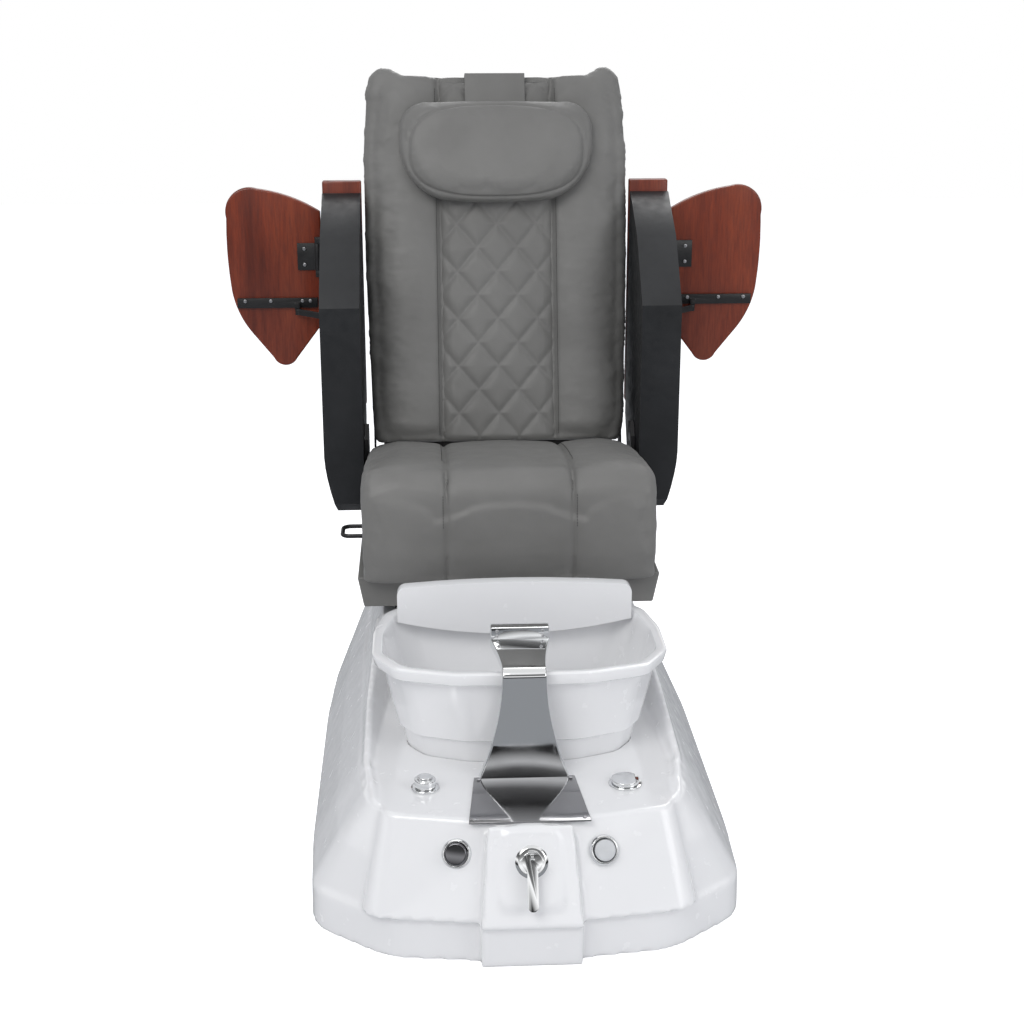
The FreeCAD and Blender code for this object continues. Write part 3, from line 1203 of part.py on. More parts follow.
def make_actuator():
    """Linear motor between the seat frame and the crank under the back."""
    anchor = point(0, s.actuator_y, s.actuator_z)
    end = point(0, s.back_hinge_y, s.back_hinge_z - s.crank_length)
    reach = (end - anchor).Length
    tilt = math.degrees(math.atan2(end.z - anchor.z, end.y - anchor.y))
    turn = Rotation(X_AXIS, tilt)
    body = Part.makeBox(44, 112, 36, Vector(-22, -10, -18))
    tube = Part.makeCylinder(13, 20, Vector(0, 100, 0), Y_AXIS)
    body = body.fuse(tube).cut([
        Part.makeCylinder(5 + float(s.running_fit), 60, Vector(-30, 0, 0), X_AXIS),
        Part.makeCylinder(8 + float(s.running_fit), 100, Vector(0, 22, 0), Y_AXIS)])
    motor = feature("actuator_motor", body)
    motor.Placement = Placement(anchor, turn)
    keep(motor)
    eye = Part.makeCylinder(13.5, 24, Vector(-12, reach, 0), X_AXIS)
    stem = Part.makeCylinder(8, reach - 62, Vector(0, 60, 0), Y_AXIS)
    rod_shape = stem.fuse(eye).cut(Part.makeCylinder(10.5, 30, Vector(-15, reach, 0), X_AXIS))
    ram = feature("actuator_ram", rod_shape)
    ram.Placement = Placement(anchor, turn)
    keep(ram)


def arm_profile():
    """Side outline of the raised armrest as (y, z) pairs."""
    front = s.arm_front
    rear = s.arm_rear
    low = s.arm_bottom
    top = s.arm_top
    return [(front + 16, low), (rear - 118, low), (rear - 60, low + 56), (rear, low + 150), (rear, top),
            (rear - 14, top), (rear - 60, top - 26), (rear - 150, top - 78), (front, top - 210),
            (front, low + 20)]


def make_arms():
    """Flip-up armrests with their wooden tops, side trays, hinges and folding struts."""
    axis_x = s.tray_hinge_x
    axis_y = s.arm_rear
    board_y = s.arm_rear + s.tray_gap
    for side, word in ((-1, "left"), (1, "right")):
        x = sided(side, s.arm_inner, s.arm_outer)
        body = padded_body(f"arm_{word}_body", arm_profile(), x[0], x[1])
        wall = 5
        x0, x1 = float(x[0]) + wall, float(x[1]) - wall
        front, rear = float(s.arm_front), float(s.arm_rear)
        low, top = float(s.arm_bottom), float(s.arm_top)
        cavity = side_prism([(front + 20, low + 6), (rear - 121, low + 6), (rear - 66, low + 60),
                             (rear - 10, low + 154), (rear - 10, low + 190), (rear + 5, low + 190),
                             (rear + 5, top - 12), (rear - 14, top - 12), (rear - 62, top - 34),
                             (rear - 147, top - 84), (front + 6, top - 214), (front + 6, low + 24)], x0, x1)
        pivot = Vector(min(x0, x1) - 10, float(s.arm_pivot_y), float(s.arm_pivot_z))
        boss = Part.makeCylinder(float(s.pivot_pin_radius) + 10, abs(x1 - x0) + 20, pivot, X_AXIS)
        bore_x = sorted((side * (float(s.arm_inner) - 1), side * (float(s.arm_inner + s.pin_reach) + 0.5)))
        bore = Part.makeCylinder(float(s.pivot_pin_radius) + float(s.running_fit), bore_x[1] - bore_x[0],
                                 Vector(bore_x[0], pivot.y, pivot.z), X_AXIS)
        hollow = feature(f"arm_{word}_hollow", cavity.cut(boss).fuse(bore))
        keep(cut(f"arm_{word}", body, hollow))
        keep(block(f"arm_{word}_cap", sided(side, s.arm_inner - 1, s.arm_outer),
                   (s.arm_rear, s.arm_rear + s.cap_thickness), (s.cap_bottom, s.cap_top)))

        axis = side * float(axis_x)
        pin_y = float(axis_y)
        hinge_mid = float(s.hinge_centre)
        span = float(s.hinge_span)
        near = side * float(s.arm_outer)
        knuckle_reach = float(axis_x) - float(s.arm_outer) + 5
        solids = []
        for z in (hinge_mid - span, hinge_mid + span - 14):
            x0 = min(near, near + side * knuckle_reach)
            solids.append(Part.makeBox(knuckle_reach, 6, 14, Vector(x0, pin_y - 6, z)))
            solids.append(Part.makeCylinder(6, 14, Vector(axis, pin_y, z), Z_AXIS))
        foot = Vector(axis, pin_y, hinge_mid - span)
        solids.append(Part.makeCylinder(float(s.hinge_pin_radius), 2 * span, foot, Z_AXIS))
        x0 = min(near, near + side * 2)
        solids.append(Part.makeBox(2, 24, 2 * span, Vector(x0, pin_y - 24, hinge_mid - span)))
        strut_z = float(s.bar_centre) - float(s.bar_height) / 2 - 1
        guide = Part.makeBox(1.5, 110, 22, Vector(min(near, near + side * 1.5), pin_y - 150, strut_z - 18))
        hinge = solids[0].fuse(solids[1:])
        keep(feature(f"arm_{word}_hinge", Part.makeCompound([hinge, guide])))

        keep(feature(f"tray_{word}_board", tray_board(side)))
        leaf_x = sorted((axis, side * (float(axis_x) + 46)))
        mid = span - 14 - 0.5
        leaf = Part.makeBox(leaf_x[1] - leaf_x[0], 4, 2 * mid,
                            Vector(leaf_x[0], float(board_y) - 4, hinge_mid - mid))
        knuckle = Part.makeCylinder(6.5, 2 * mid, Vector(axis, pin_y, hinge_mid - mid), Z_AXIS)
        bore = Part.makeCylinder(float(s.hinge_pin_radius) + float(s.running_fit), 2 * span, foot, Z_AXIS)
        leaf = leaf.fuse(knuckle).cut(bore)
        bar_low = float(s.bar_centre) - float(s.bar_height) / 2
        bar_x = sorted((side * (float(axis_x) + 4), side * (float(s.tray_reach) - 18)))
        bar = Part.makeBox(bar_x[1] - bar_x[0], float(s.bar_thickness), float(s.bar_height),
                           Vector(bar_x[0], float(board_y) - float(s.bar_thickness), bar_low))
        eye = side * (float(axis_x) + float(s.strut_offset))
        eye_y = pin_y - 4
        ear = Part.makeBox(12, 12, 12, Vector(eye - 6, eye_y - 5, bar_low))
        stud = Part.makeCylinder(2.5, 22, Vector(eye, eye_y, bar_low - 16), Z_AXIS)
        keep(feature(f"tray_{word}_bracket", Part.makeCompound([leaf, bar.fuse([ear, stud])])))
        screws = []
        for offset in (20, 38, 110, 168):
            spot = Vector(side * (float(axis_x) + offset), float(board_y - s.bar_thickness) - 2, bar_low + 16)
            screws.append(Part.makeCylinder(4, 2, spot, Y_AXIS))
        for z in (hinge_mid - 18, hinge_mid + 18):
            screws.append(Part.makeCylinder(4, 2, Vector(side * (float(axis_x) + 30), float(board_y) - 6, z), Y_AXIS))
        keep(feature(f"tray_{word}_screws", Part.makeCompound(screws)))

        length = float(s.strut_length)
        drop = float(axis_x) + float(s.strut_offset) - float(s.arm_outer) - 4
        angle = math.degrees(math.acos(drop / length))
        link = Part.makeBox(length, 4, 14, Vector(0, -2, 0)).fuse(Part.makeCylinder(5, 14, Vector(0, 0, 0), Z_AXIS))
        link = link.cut(Part.makeCylinder(2.5 + float(s.running_fit), 16, Vector(0, 0, -1), Z_AXIS))
        turn = Rotation(Z_AXIS, 180 + angle) if side > 0 else Rotation(Z_AXIS, -angle)
        strut = feature(f"tray_{word}_strut", link)
        strut.Placement = Placement(Vector(eye, eye_y, bar_low - 15), turn)
        keep(strut)


def tray_board(side):
    """Fan-shaped side tray with rounded outer corner and tip."""
    y = float(s.arm_rear + s.tray_gap)
    inner = float(s.arm_outer) + 7
    reach = float(s.tray_reach)
    low = float(s.tray_low)
    high = float(s.tray_high)

    def at(x, z):
        return Vector(side * x, y, z)

    wire = Part.Wire([
        Part.Arc(at(inner, high - 52), at(455, high - 22), at(536, high - 1)).toShape(),
        Part.Arc(at(536, high - 1), at(reach - 16, high - 14), at(reach - 1, high - 66)).toShape(),
        Part.Arc(at(reach - 1, high - 66), at(reach, high - 150), at(reach - 6, high - 230)).toShape(),
        Part.Arc(at(reach - 6, high - 230), at(reach - 22, high - 285), at(reach - 52, high - 333)).toShape(),
        Part.LineSegment(at(reach - 52, high - 333), at(513, low + 18)).toShape(),
        Part.Arc(at(513, low + 18), at(487, low), at(460, low + 16)).toShape(),
        Part.LineSegment(at(460, low + 16), at(inner, low + 100)).toShape(),
        Part.LineSegment(at(inner, low + 100), at(inner, high - 52)).toShape()])
    return Part.Face(wire).extrude(Vector(0, float(s.tray_thickness), 0))


jet_wall = -(s.tub_back + s.rim_width
             + s.tub_taper * (s.rim_height - s.jet_height) / (s.rim_height - s.tub_floor))
make_base()
make_tub()
make_splash_panel()
make_spout()
make_controls()
tub_outer = feature("tub_outer", tub_solid(float(s.rim_height), float(s.tub_wall), float(s.tub_wall)))
tub_outer_ring = feature("tub_wall_ring", tub_outer.Shape.cut(tub_solid(float(s.rim_height) + 1, 0)))
make_plumbing()
make_chassis()
make_access_panel()
make_seat()
make_back()
make_actuator()
make_arms()

doc.recompute()
failed = [piece.Label for piece in doc.Objects if {"Invalid", "Error"} & set(piece.State)]
if failed:
    raise SystemExit("failed objects: " + ", ".join(failed))
bad = [piece.Label for piece in subparts if piece.Shape.isNull() or not piece.Shape.isValid()]
if bad:
    raise SystemExit("shapes that are null or not valid: " + ", ".join(bad))
os.makedirs("parts", exist_ok=True)
print("nodes", len(subparts))
for piece in subparts:
    shape = piece.Shape
    print(piece.Label, len(shape.Solids), round(shape.Volume / 1000), shape.optimalBoundingBox())
    shape.exportStep(f"parts/{piece.Label}.step")
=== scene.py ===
import json
import math

import bmesh
import bpy
from mathutils import Matrix, Vector, noise

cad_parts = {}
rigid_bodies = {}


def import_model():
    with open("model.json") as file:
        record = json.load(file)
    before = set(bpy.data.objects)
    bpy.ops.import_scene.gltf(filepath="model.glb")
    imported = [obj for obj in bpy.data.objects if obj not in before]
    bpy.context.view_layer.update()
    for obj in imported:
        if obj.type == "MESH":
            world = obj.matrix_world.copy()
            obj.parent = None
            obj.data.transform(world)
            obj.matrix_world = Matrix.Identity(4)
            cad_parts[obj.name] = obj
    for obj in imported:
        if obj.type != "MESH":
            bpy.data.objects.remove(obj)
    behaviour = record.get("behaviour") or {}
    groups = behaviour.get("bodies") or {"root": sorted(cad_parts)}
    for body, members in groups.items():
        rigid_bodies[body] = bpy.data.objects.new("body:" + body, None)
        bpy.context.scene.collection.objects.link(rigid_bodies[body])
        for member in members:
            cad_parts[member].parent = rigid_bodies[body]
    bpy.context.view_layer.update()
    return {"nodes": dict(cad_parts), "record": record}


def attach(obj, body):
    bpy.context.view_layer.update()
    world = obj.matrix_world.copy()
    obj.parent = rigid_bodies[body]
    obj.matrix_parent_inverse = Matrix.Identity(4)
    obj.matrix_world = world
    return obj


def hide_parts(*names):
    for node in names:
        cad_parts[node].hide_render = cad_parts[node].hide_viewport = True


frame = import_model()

NODES = frame["nodes"]
MM = 0.001

# Main sizes in millimetres, the same as in the solids.
BASE_HALF, BASE_FRONT, BASE_REAR = 388, 748, 780
PLINTH_TOP, DECK = 78, 232
RIDGE_HALF, RIDGE_FOOT = 303, 222
SHELL_WALL = 6
PEDESTAL_HALF, PEDESTAL_FRONT, PEDESTAL_TOP = 262, 95, 335
CONSOLE_FRONT, CONSOLE_TOP_FRONT, CONSOLE_REAR = 760, 687, 568
CONSOLE_HALF, CONSOLE_TOP_HALF, CONSOLE_SWEEP = 288, 255, 48
CONSOLE_RUN = CONSOLE_FRONT - CONSOLE_TOP_FRONT
CONSOLE_RISE = DECK - PLINTH_TOP
PANEL_HALF, PANEL_TOP_HALF, PANEL_BACK = 86, 73, 690
CONTROL_HEIGHT, CONTROL_SPACING = 180, 125
DECK_CONTROL_X, DECK_CONTROL_Y = 177, -548
TUB_RIM, TUB_DEPTH, TUB_TAPER = 420, 290, 34
JET_HEIGHT, JET_RADIUS = 172, 30
DRAIN_Y, DRAIN_BORE = -310, 20.1
SPOUT_FOOT_Y, SPOUT_BEND_Y, SPOUT_TOP = -512, -502, 424
SPOUT_HALF, SPOUT_FLARE, SPOUT_THICK = 39, 43, 8.0
MOUTH_HALF, MOUTH_TOP, MOUTH_GAP_HALF = 54, 462, 48
SEAM_X = 127
STITCH_GAP, STITCH_PITCH = 7.5, 5.5
DIAMOND_TALL, DIAMOND_WIDE, DIAMOND_START = 106, 90, 492
ARM_INNER, ARM_TAPER_TOP = 303, 590

# The backrest's own frame: X across, -Y out of its front, Z up along its length.
BACK_LEAN = math.radians(15.7)
BACK_FOOT = Vector((0, 0.440, 0.586))
BACK_FRAME = Matrix.Translation(BACK_FOOT) @ Matrix.Rotation(-BACK_LEAN, 4, "X")


# Meshes.

def new_object(name, vertices, faces):
    """A mesh object at the origin, from points in metres."""
    mesh = bpy.data.meshes.new(name)
    mesh.from_pydata([tuple(v) for v in vertices], [], faces)
    mesh.validate()
    piece = bpy.data.objects.new(name, mesh)
    bpy.context.scene.collection.objects.link(piece)
    return piece


def edit(piece, change):
    """Run a bmesh change on a piece."""
    mesh = bmesh.new()
    mesh.from_mesh(piece.data)
    change(mesh)
    mesh.to_mesh(piece.data)
    mesh.free()
    piece.data.update()


def outwards(piece):
    """Merge doubles and turn the faces outwards."""
    def change(mesh):
        bmesh.ops.remove_doubles(mesh, verts=mesh.verts, dist=0.00001)
        bmesh.ops.recalc_face_normals(mesh, faces=mesh.faces)
    edit(piece, change)


def apply_modifiers(piece):
    """Turn a piece's modifiers into its mesh."""
    graph = bpy.context.evaluated_depsgraph_get()
    graph.update()
    result = bpy.data.meshes.new_from_object(piece.evaluated_get(graph))
    result.name = piece.data.name
    piece.modifiers.clear()
    piece.data = result


def smooth(piece, angle=40):
    """Smooth shading with sharp edges above an angle in degrees."""
    mesh = piece.data
    mesh.polygons.foreach_set("use_smooth", [True] * len(mesh.polygons))
    mesh.set_sharp_from_angle(angle=math.radians(angle))
    mesh.update()


def loft(rings):
    """Vertices and faces of a closed solid through rings with equal counts."""
    count = len(rings[0])
    vertices = [point for ring in rings for point in ring]
    faces = [tuple(reversed(range(count)))]
    for level in range(len(rings) - 1):
        low = level * count
        for index in range(count):
            after = (index + 1) % count
            faces.append((low + index, low + after, low + count + after, low + count + index))
    faces.append(tuple((len(rings) - 1) * count + index for index in range(count)))
    return vertices, faces


def lofted(name, rings):
    """A closed piece through rings."""
    piece = new_object(name, *loft(rings))
    outwards(piece)
    return piece


def full_outline(half):
    """Mirror a half outline that runs from the front centre to the rear centre."""
    return list(half) + [(-x, y) for x, y in reversed(half) if x > 1e-6]


def rounded(points, reach, steps=5):
    """Round the corners of a closed outline; every corner gives the same count of points."""
    result = []
    count = len(points)
    for index in range(count):
        before, here, after = (Vector(points[(index + k) % count]) for k in (-1, 0, 1))
        back = before - here
        ahead = after - here
        start = here + back.normalized() * min(reach, back.length * 0.45)
        end = here + ahead.normalized() * min(reach, ahead.length * 0.45)
        for step in range(steps + 1):
            t = step / steps
            result.append(start * (1 - t) ** 2 + here * 2 * t * (1 - t) + end * t ** 2)
    return result


def level_ring(half, reach, z):
    """A rounded outline in millimetres as a ring of points in metres."""
    return [Vector((p[0] * MM, p[1] * MM, z * MM)) for p in rounded(full_outline(half), reach)]


def copy_node(name, node):
    """A piece that starts as a copy of a CAD node, merged and with flat faces joined."""
    copied = bmesh.new()
    copied.from_mesh(NODES[node].data)
    bmesh.ops.remove_doubles(copied, verts=copied.verts, dist=0.00002)
    bmesh.ops.dissolve_limit(copied, angle_limit=math.radians(1.2), verts=copied.verts, edges=copied.edges)
    mesh = bpy.data.meshes.new(name)
    copied.to_mesh(mesh)
    copied.free()
    piece = bpy.data.objects.new(name, mesh)
    bpy.context.scene.collection.objects.link(piece)
    return piece


def bevel(piece, width, segments=3, angle=32):
    """Round a piece's edges, width in millimetres."""
    rounding = piece.modifiers.new("edges", "BEVEL")
    rounding.width = width * MM
    rounding.segments = segments
    rounding.limit_method = "ANGLE"
    rounding.angle_limit = math.radians(angle)
    rounding.use_clamp_overlap = True
    rounding.miter_outer = "MITER_ARC"
    apply_modifiers(piece)


def voxels(piece, size, passes):
    """Fuse a piece's closed shapes into one skin and soften its corners, size in millimetres."""
    skin = piece.modifiers.new("skin", "REMESH")
    skin.mode = "VOXEL"
    skin.voxel_size = size * MM
    relax = piece.modifiers.new("relax", "SMOOTH")
    relax.factor = 0.5
    relax.iterations = passes
    apply_modifiers(piece)


def subtract(piece, cutters):
    """Cut closed pieces out of a piece and remove them."""
    for cutter in cutters:
        hole = piece.modifiers.new("hole", "BOOLEAN")
        hole.operation = "DIFFERENCE"
        hole.solver = "EXACT"
        hole.object = cutter
        apply_modifiers(piece)
        bpy.data.objects.remove(cutter)


def join(name, pieces):
    """Join pieces into one object."""
    joined = bmesh.new()
    for piece in pieces:
        joined.from_mesh(piece.data)
        bpy.data.objects.remove(piece)
    mesh = bpy.data.meshes.new(name)
    joined.to_mesh(mesh)
    joined.free()
    result = bpy.data.objects.new(name, mesh)
    bpy.context.scene.collection.objects.link(result)
    return result


# Materials.

def material(name, color, metallic=0.0, roughness=0.5, **sockets):
    """A principled material with constant values on its sockets."""
    finish = bpy.data.materials.new(name)
    finish.use_nodes = True
    shader = finish.node_tree.nodes["Principled BSDF"]
    shader.inputs["Base Color"].default_value = (*color, 1)
    shader.inputs["Metallic"].default_value = metallic
    shader.inputs["Roughness"].default_value = roughness
    for socket, value in sockets.items():
        shader.inputs[socket.replace("_", " ")].default_value = value
    finish.diffuse_color = (*color, 1)
    return finish


class Nodes:
    """Short calls for adding detail to a material's nodes."""

    def __init__(self, finish):
        self.tree = finish.node_tree
        self.shader = self.tree.nodes["Principled BSDF"]
        self.place = self.tree.nodes.new("ShaderNodeTexCoord").outputs["Object"]

    def add(self, kind, **values):
        node = self.tree.nodes.new(kind)
        for name, value in values.items():
            if hasattr(node, name):
                setattr(node, name, value)
            else:
                node.inputs[name.replace("_", " ")].default_value = value
        return node

    def link(self, output, target):
        self.tree.links.new(output, target)

    def stretched(self, scale):
        node = self.add("ShaderNodeMapping")
        node.inputs["Scale"].default_value = scale
        self.link(self.place, node.inputs["Vector"])
        return node.outputs["Vector"]

    def noise(self, scale, detail=3.0, place=None, rough=0.5):
        node = self.add("ShaderNodeTexNoise", Scale=scale, Detail=detail, Roughness=rough)
        self.link(place or self.place, node.inputs["Vector"])
        return node.outputs["Fac"]

    def ramp(self, value, stops):
        node = self.add("ShaderNodeValToRGB")
        ramp = node.color_ramp
        while len(ramp.elements) < len(stops):
            ramp.elements.new(0.5)
        for element, (position, color) in zip(ramp.elements, stops):
            element.position = position
            element.color = (*color, 1)
        self.link(value, node.inputs["Fac"])
        return node.outputs["Color"]

    def spread(self, value, low, high):
        node = self.add("ShaderNodeMapRange")
        node.inputs["From Min"].default_value = 0.3
        node.inputs["From Max"].default_value = 0.7
        node.inputs["To Min"].default_value = low
        node.inputs["To Max"].default_value = high
        self.link(value, node.inputs["Value"])
        return node.outputs["Result"]

    def bump(self, height, strength, distance, below=None):
        node = self.add("ShaderNodeBump", Strength=strength, Distance=distance)
        self.link(height, node.inputs["Height"])
        if below:
            self.link(below, node.inputs["Normal"])
        return node.outputs["Normal"]

    def color(self, output):
        self.link(output, self.shader.inputs["Base Color"])

    def roughness(self, output):
        self.link(output, self.shader.inputs["Roughness"])

    def normal(self, output):
        self.link(output, self.shader.inputs["Normal"])


def leather(name, dark, light):
    """Soft upholstery leather: pebbled grain, creases and a slight change of shade."""
    finish = material(name, light, roughness=0.5, Sheen_Weight=0.08, Sheen_Roughness=0.4)
    n = Nodes(finish)
    n.color(n.ramp(n.noise(7, 4), [(0.3, dark), (0.7, light)]))
    n.roughness(n.spread(n.noise(30, 3), 0.44, 0.58))
    grain = n.add("ShaderNodeTexVoronoi", Scale=620.0)
    n.link(n.place, grain.inputs["Vector"])
    pebbles = n.bump(grain.outputs["Distance"], 0.28, 0.0005)
    n.normal(n.bump(n.noise(26, 5), 0.35, 0.002, pebbles))
    return finish


def gelcoat(name, dark, light):
    """Glossy white gelcoat with a faint waviness."""
    finish = material(name, light, roughness=0.2, Coat_Weight=0.5, Coat_Roughness=0.06)
    n = Nodes(finish)
    n.color(n.ramp(n.noise(3.5, 3), [(0.3, dark), (0.7, light)]))
    n.roughness(n.spread(n.noise(40, 4), 0.16, 0.28))
    n.normal(n.bump(n.noise(9, 2), 0.12, 0.004))
    return finish


def lacquered_wood(name):
    """Red-brown stained veneer with long grain under satin lacquer."""
    finish = material(name, (0.09, 0.018, 0.008), roughness=0.34, Coat_Weight=0.25, Coat_Roughness=0.2)
    n = Nodes(finish)
    along = n.stretched((1.0, 1.0, 0.09))
    bands = n.noise(26, 5, along, 0.62)
    fine = n.noise(260, 3, along, 0.6)
    blend = n.add("ShaderNodeMix", data_type="RGBA", blend_type="MULTIPLY")
    blend.inputs["Factor"].default_value = 0.55
    n.link(n.ramp(bands, [(0.28, (0.120, 0.0165, 0.0060)), (0.5, (0.215, 0.0330, 0.0110)),
                          (0.74, (0.300, 0.0560, 0.0190))]), blend.inputs["A"])
    n.link(n.ramp(fine, [(0.35, (0.55, 0.5, 0.5)), (0.62, (1, 1, 1))]), blend.inputs["B"])
    n.color(blend.outputs["Result"])
    n.roughness(n.spread(fine, 0.42, 0.30))
    n.normal(n.bump(fine, 0.12, 0.0006))
    return finish


def moulded(name, color, rough, grain=900, strength=0.16):
    """Moulded or powder-coated surface with a fine texture and slight wear."""
    finish = material(name, color, roughness=rough)
    n = Nodes(finish)
    lighter = tuple(min(1.0, c * 1.35 + 0.003) for c in color)
    n.color(n.ramp(n.noise(11, 5), [(0.35, color), (0.75, lighter)]))
    n.roughness(n.spread(n.noise(55, 4), rough - 0.07, rough + 0.09))
    n.normal(n.bump(n.noise(grain, 2), strength, 0.0004))
    return finish


def metal(name, color, rough, grain=None):
    """Plated or brushed metal with faint smears."""
    finish = material(name, color, metallic=1.0, roughness=rough)
    n = Nodes(finish)
    n.roughness(n.spread(n.noise(18, 5), max(0.02, rough - 0.03), rough + 0.06))
    if grain:
        n.normal(n.bump(n.noise(300, 2, n.stretched(grain)), 0.1, 0.0003))
    return finish


GREY_LEATHER = leather("grey_leather", (0.168, 0.166, 0.159), (0.200, 0.198, 0.190))
THREAD = moulded("grey_thread", (0.050, 0.050, 0.048), 0.7)
# Deck plate chrome: its colour is darkened as a painted reflection of a dark room.
REFLECTION_DARKENED_CHROME = metal("chrome_with_painted_dark_reflection", (0.30, 0.30, 0.31), 0.06)
BUTTON_FACE = moulded("pale_disc", (0.50, 0.51, 0.52), 0.35)
WHITE = gelcoat("white_gelcoat", (0.86, 0.862, 0.87), (0.89, 0.892, 0.90))
WOOD = lacquered_wood("red_veneer")
BLACK = moulded("black_moulding", (0.010, 0.011, 0.013), 0.42)
CHROME = metal("mirror_chrome", (0.78, 0.79, 0.80), 0.05)
DARK_CHROME = metal("smoked_chrome", (0.16, 0.16, 0.17), 0.10)
BLACK_STEEL = moulded("black_powder_coat", (0.014, 0.014, 0.015), 0.38, 1400, 0.1)
ZINC = metal("zinc_plate", (0.58, 0.58, 0.60), 0.3, (1, 1, 12))
BRASS = metal("cast_brass", (0.55, 0.38, 0.15), 0.38)
GREY_PIPE = moulded("grey_pipe", (0.30, 0.30, 0.31), 0.45)
HOUSING = moulded("pump_housing", (0.035, 0.036, 0.040), 0.5, 500)
BACK_COVER = moulded("back_cover", (0.022, 0.022, 0.024), 0.5, 420, 0.35)
FINISHES = {
    "grey_leather": GREY_LEATHER, "white_gelcoat": WHITE, "mahogany": WOOD, "black_plastic": BLACK,
    "chrome": CHROME, "dark_chrome": DARK_CHROME, "black_steel": BLACK_STEEL, "zinc_steel": ZINC,
    "brass": BRASS, "grey_pipe": GREY_PIPE, "pump_housing": HOUSING, "back_cover": BACK_COVER,
}
NODE_SLOT = {row["node"]: row["material_slot"] for row in frame["record"]["subparts"]}
NODE_BODY = {node: body for body, nodes in frame["record"]["behaviour"]["bodies"].items() for node in nodes}


def settle(piece, body, slot, *nodes, finish=None, angle=40):
    """Give a piece its finish, its body and the nodes that it stands for."""
    smooth(piece, angle)
    piece.data.materials.clear()
    piece.data.materials.append(finish or FINISHES[slot])
    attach(piece, body)
    if nodes:
        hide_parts(*nodes)


def share_of(value, start, end):
    """How far a value lies from start to end, held between 0 and 1."""
    return max(0.0, min(1.0, (value - start) / (end - start)))


def tapered_arm(place):
    """Draw the lower end of an armrest in from its outer side."""
    share = share_of(place.z, ARM_TAPER_TOP, ARM_TAPER_TOP - 128) ** 1.6
    inner = math.copysign(ARM_INNER, place.x)
    return Vector((inner + (place.x - inner) * (1 - 0.30 * share), place.y, place.z))


def tapered_skirt(place):
    """Draw the skirt's lower edge up and in."""
    share = share_of(place.z, 440, 340)
    front_end = place.y < 100
    return Vector((place.x * (1 - 0.045 * share), place.y + 12 * share * front_end, place.z + 20 * share))


SHAPES = {"arm_left": tapered_arm, "arm_right": tapered_arm, "seat_skirt": tapered_skirt}
# The deck plate takes the chrome that is darkened as a painted dark reflection.
OWN_FINISH = {"deck_plate": REFLECTION_DARKENED_CHROME, "air_button": BUTTON_FACE}


def cut_levels(mesh):
    """Cut a mesh across at a few heights, so that it can bend there."""
    for level in (ARM_TAPER_TOP, 565, 540, 510, 440, 400):
        everything = mesh.verts[:] + mesh.edges[:] + mesh.faces[:]
        bmesh.ops.bisect_plane(mesh, geom=everything, plane_co=(0, 0, level * MM), plane_no=(0, 0, 1))


def rounded_node(node, width, segments=3, angle=32):
    """Replace a rigid CAD node with a copy whose edges are rounded."""
    piece = copy_node(node + "_finished", node)
    if node in SHAPES:
        edit(piece, cut_levels)
        for vertex in piece.data.vertices:
            vertex.co = SHAPES[node](vertex.co / MM) * MM
    bevel(piece, width, segments, angle)
    settle(piece, NODE_BODY[node], NODE_SLOT[node], node, finish=OWN_FINISH.get(node))


# Base moulding.

def base_outlines(inset):
    """Half outlines of the plinth and of the deck, drawn in by an inset."""
    wide, front, rear, ridge = (size - inset for size in (BASE_HALF, BASE_FRONT, BASE_REAR, RIDGE_HALF))
    plan = [(0, -front), (0.632 * wide, -front + 30), (0.977 * wide, -front + 138), (wide, -front + 330),
            (wide, 120), (0.975 * wide, 330), (0.91 * wide, 560), (0.75 * wide, rear - 55),
            (0.5 * wide, rear), (0, rear)]
    shoulder = [(0, -front + 122), (0.83 * ridge, -front + 128), (0.93 * ridge, -front + 168),
                (0.98 * ridge, -front + 290), (ridge, 100), (0.99 * ridge, 320), (0.95 * ridge, 540),
                (0.83 * ridge, rear - 118), (0.66 * ridge, rear - 70), (0, rear - 70)]
    return plan, shoulder


def base_solid(name, inset, floor, deck):
    """Plinth and sloping skirt up to the deck."""
    plan, shoulder = base_outlines(inset)
    grown = [(x * 0.997, y * 0.997) for x, y in plan]
    tucked = [(x * 0.987, y * 0.987) for x, y in plan]
    middle = [((a[0] * 0.52 + b[0] * 0.48) - (3 if a[0] > 1 else 0), a[1] * 0.52 + b[1] * 0.48)
              for a, b in zip(plan, shoulder)]
    return lofted(name, [level_ring(plan, 40, floor), level_ring(grown, 40, 70), level_ring(tucked, 40, 79),
                         level_ring(middle, 36, 158), level_ring(shoulder, 32, deck)])


def console_solid():
    """Wedge that carries the controls in front of the tub."""
    low = [(0, -CONSOLE_FRONT), (264, -722), (CONSOLE_HALF, -700), (CONSOLE_HALF, -CONSOLE_REAR),
           (0, -CONSOLE_REAR)]
    high = [(0, -CONSOLE_TOP_FRONT), (238, -639), (CONSOLE_TOP_HALF, -620), (CONSOLE_TOP_HALF, -CONSOLE_REAR),
            (0, -CONSOLE_REAR)]
    return lofted("console", [level_ring(low, 14, PLINTH_TOP), level_ring(high, 14, DECK)])


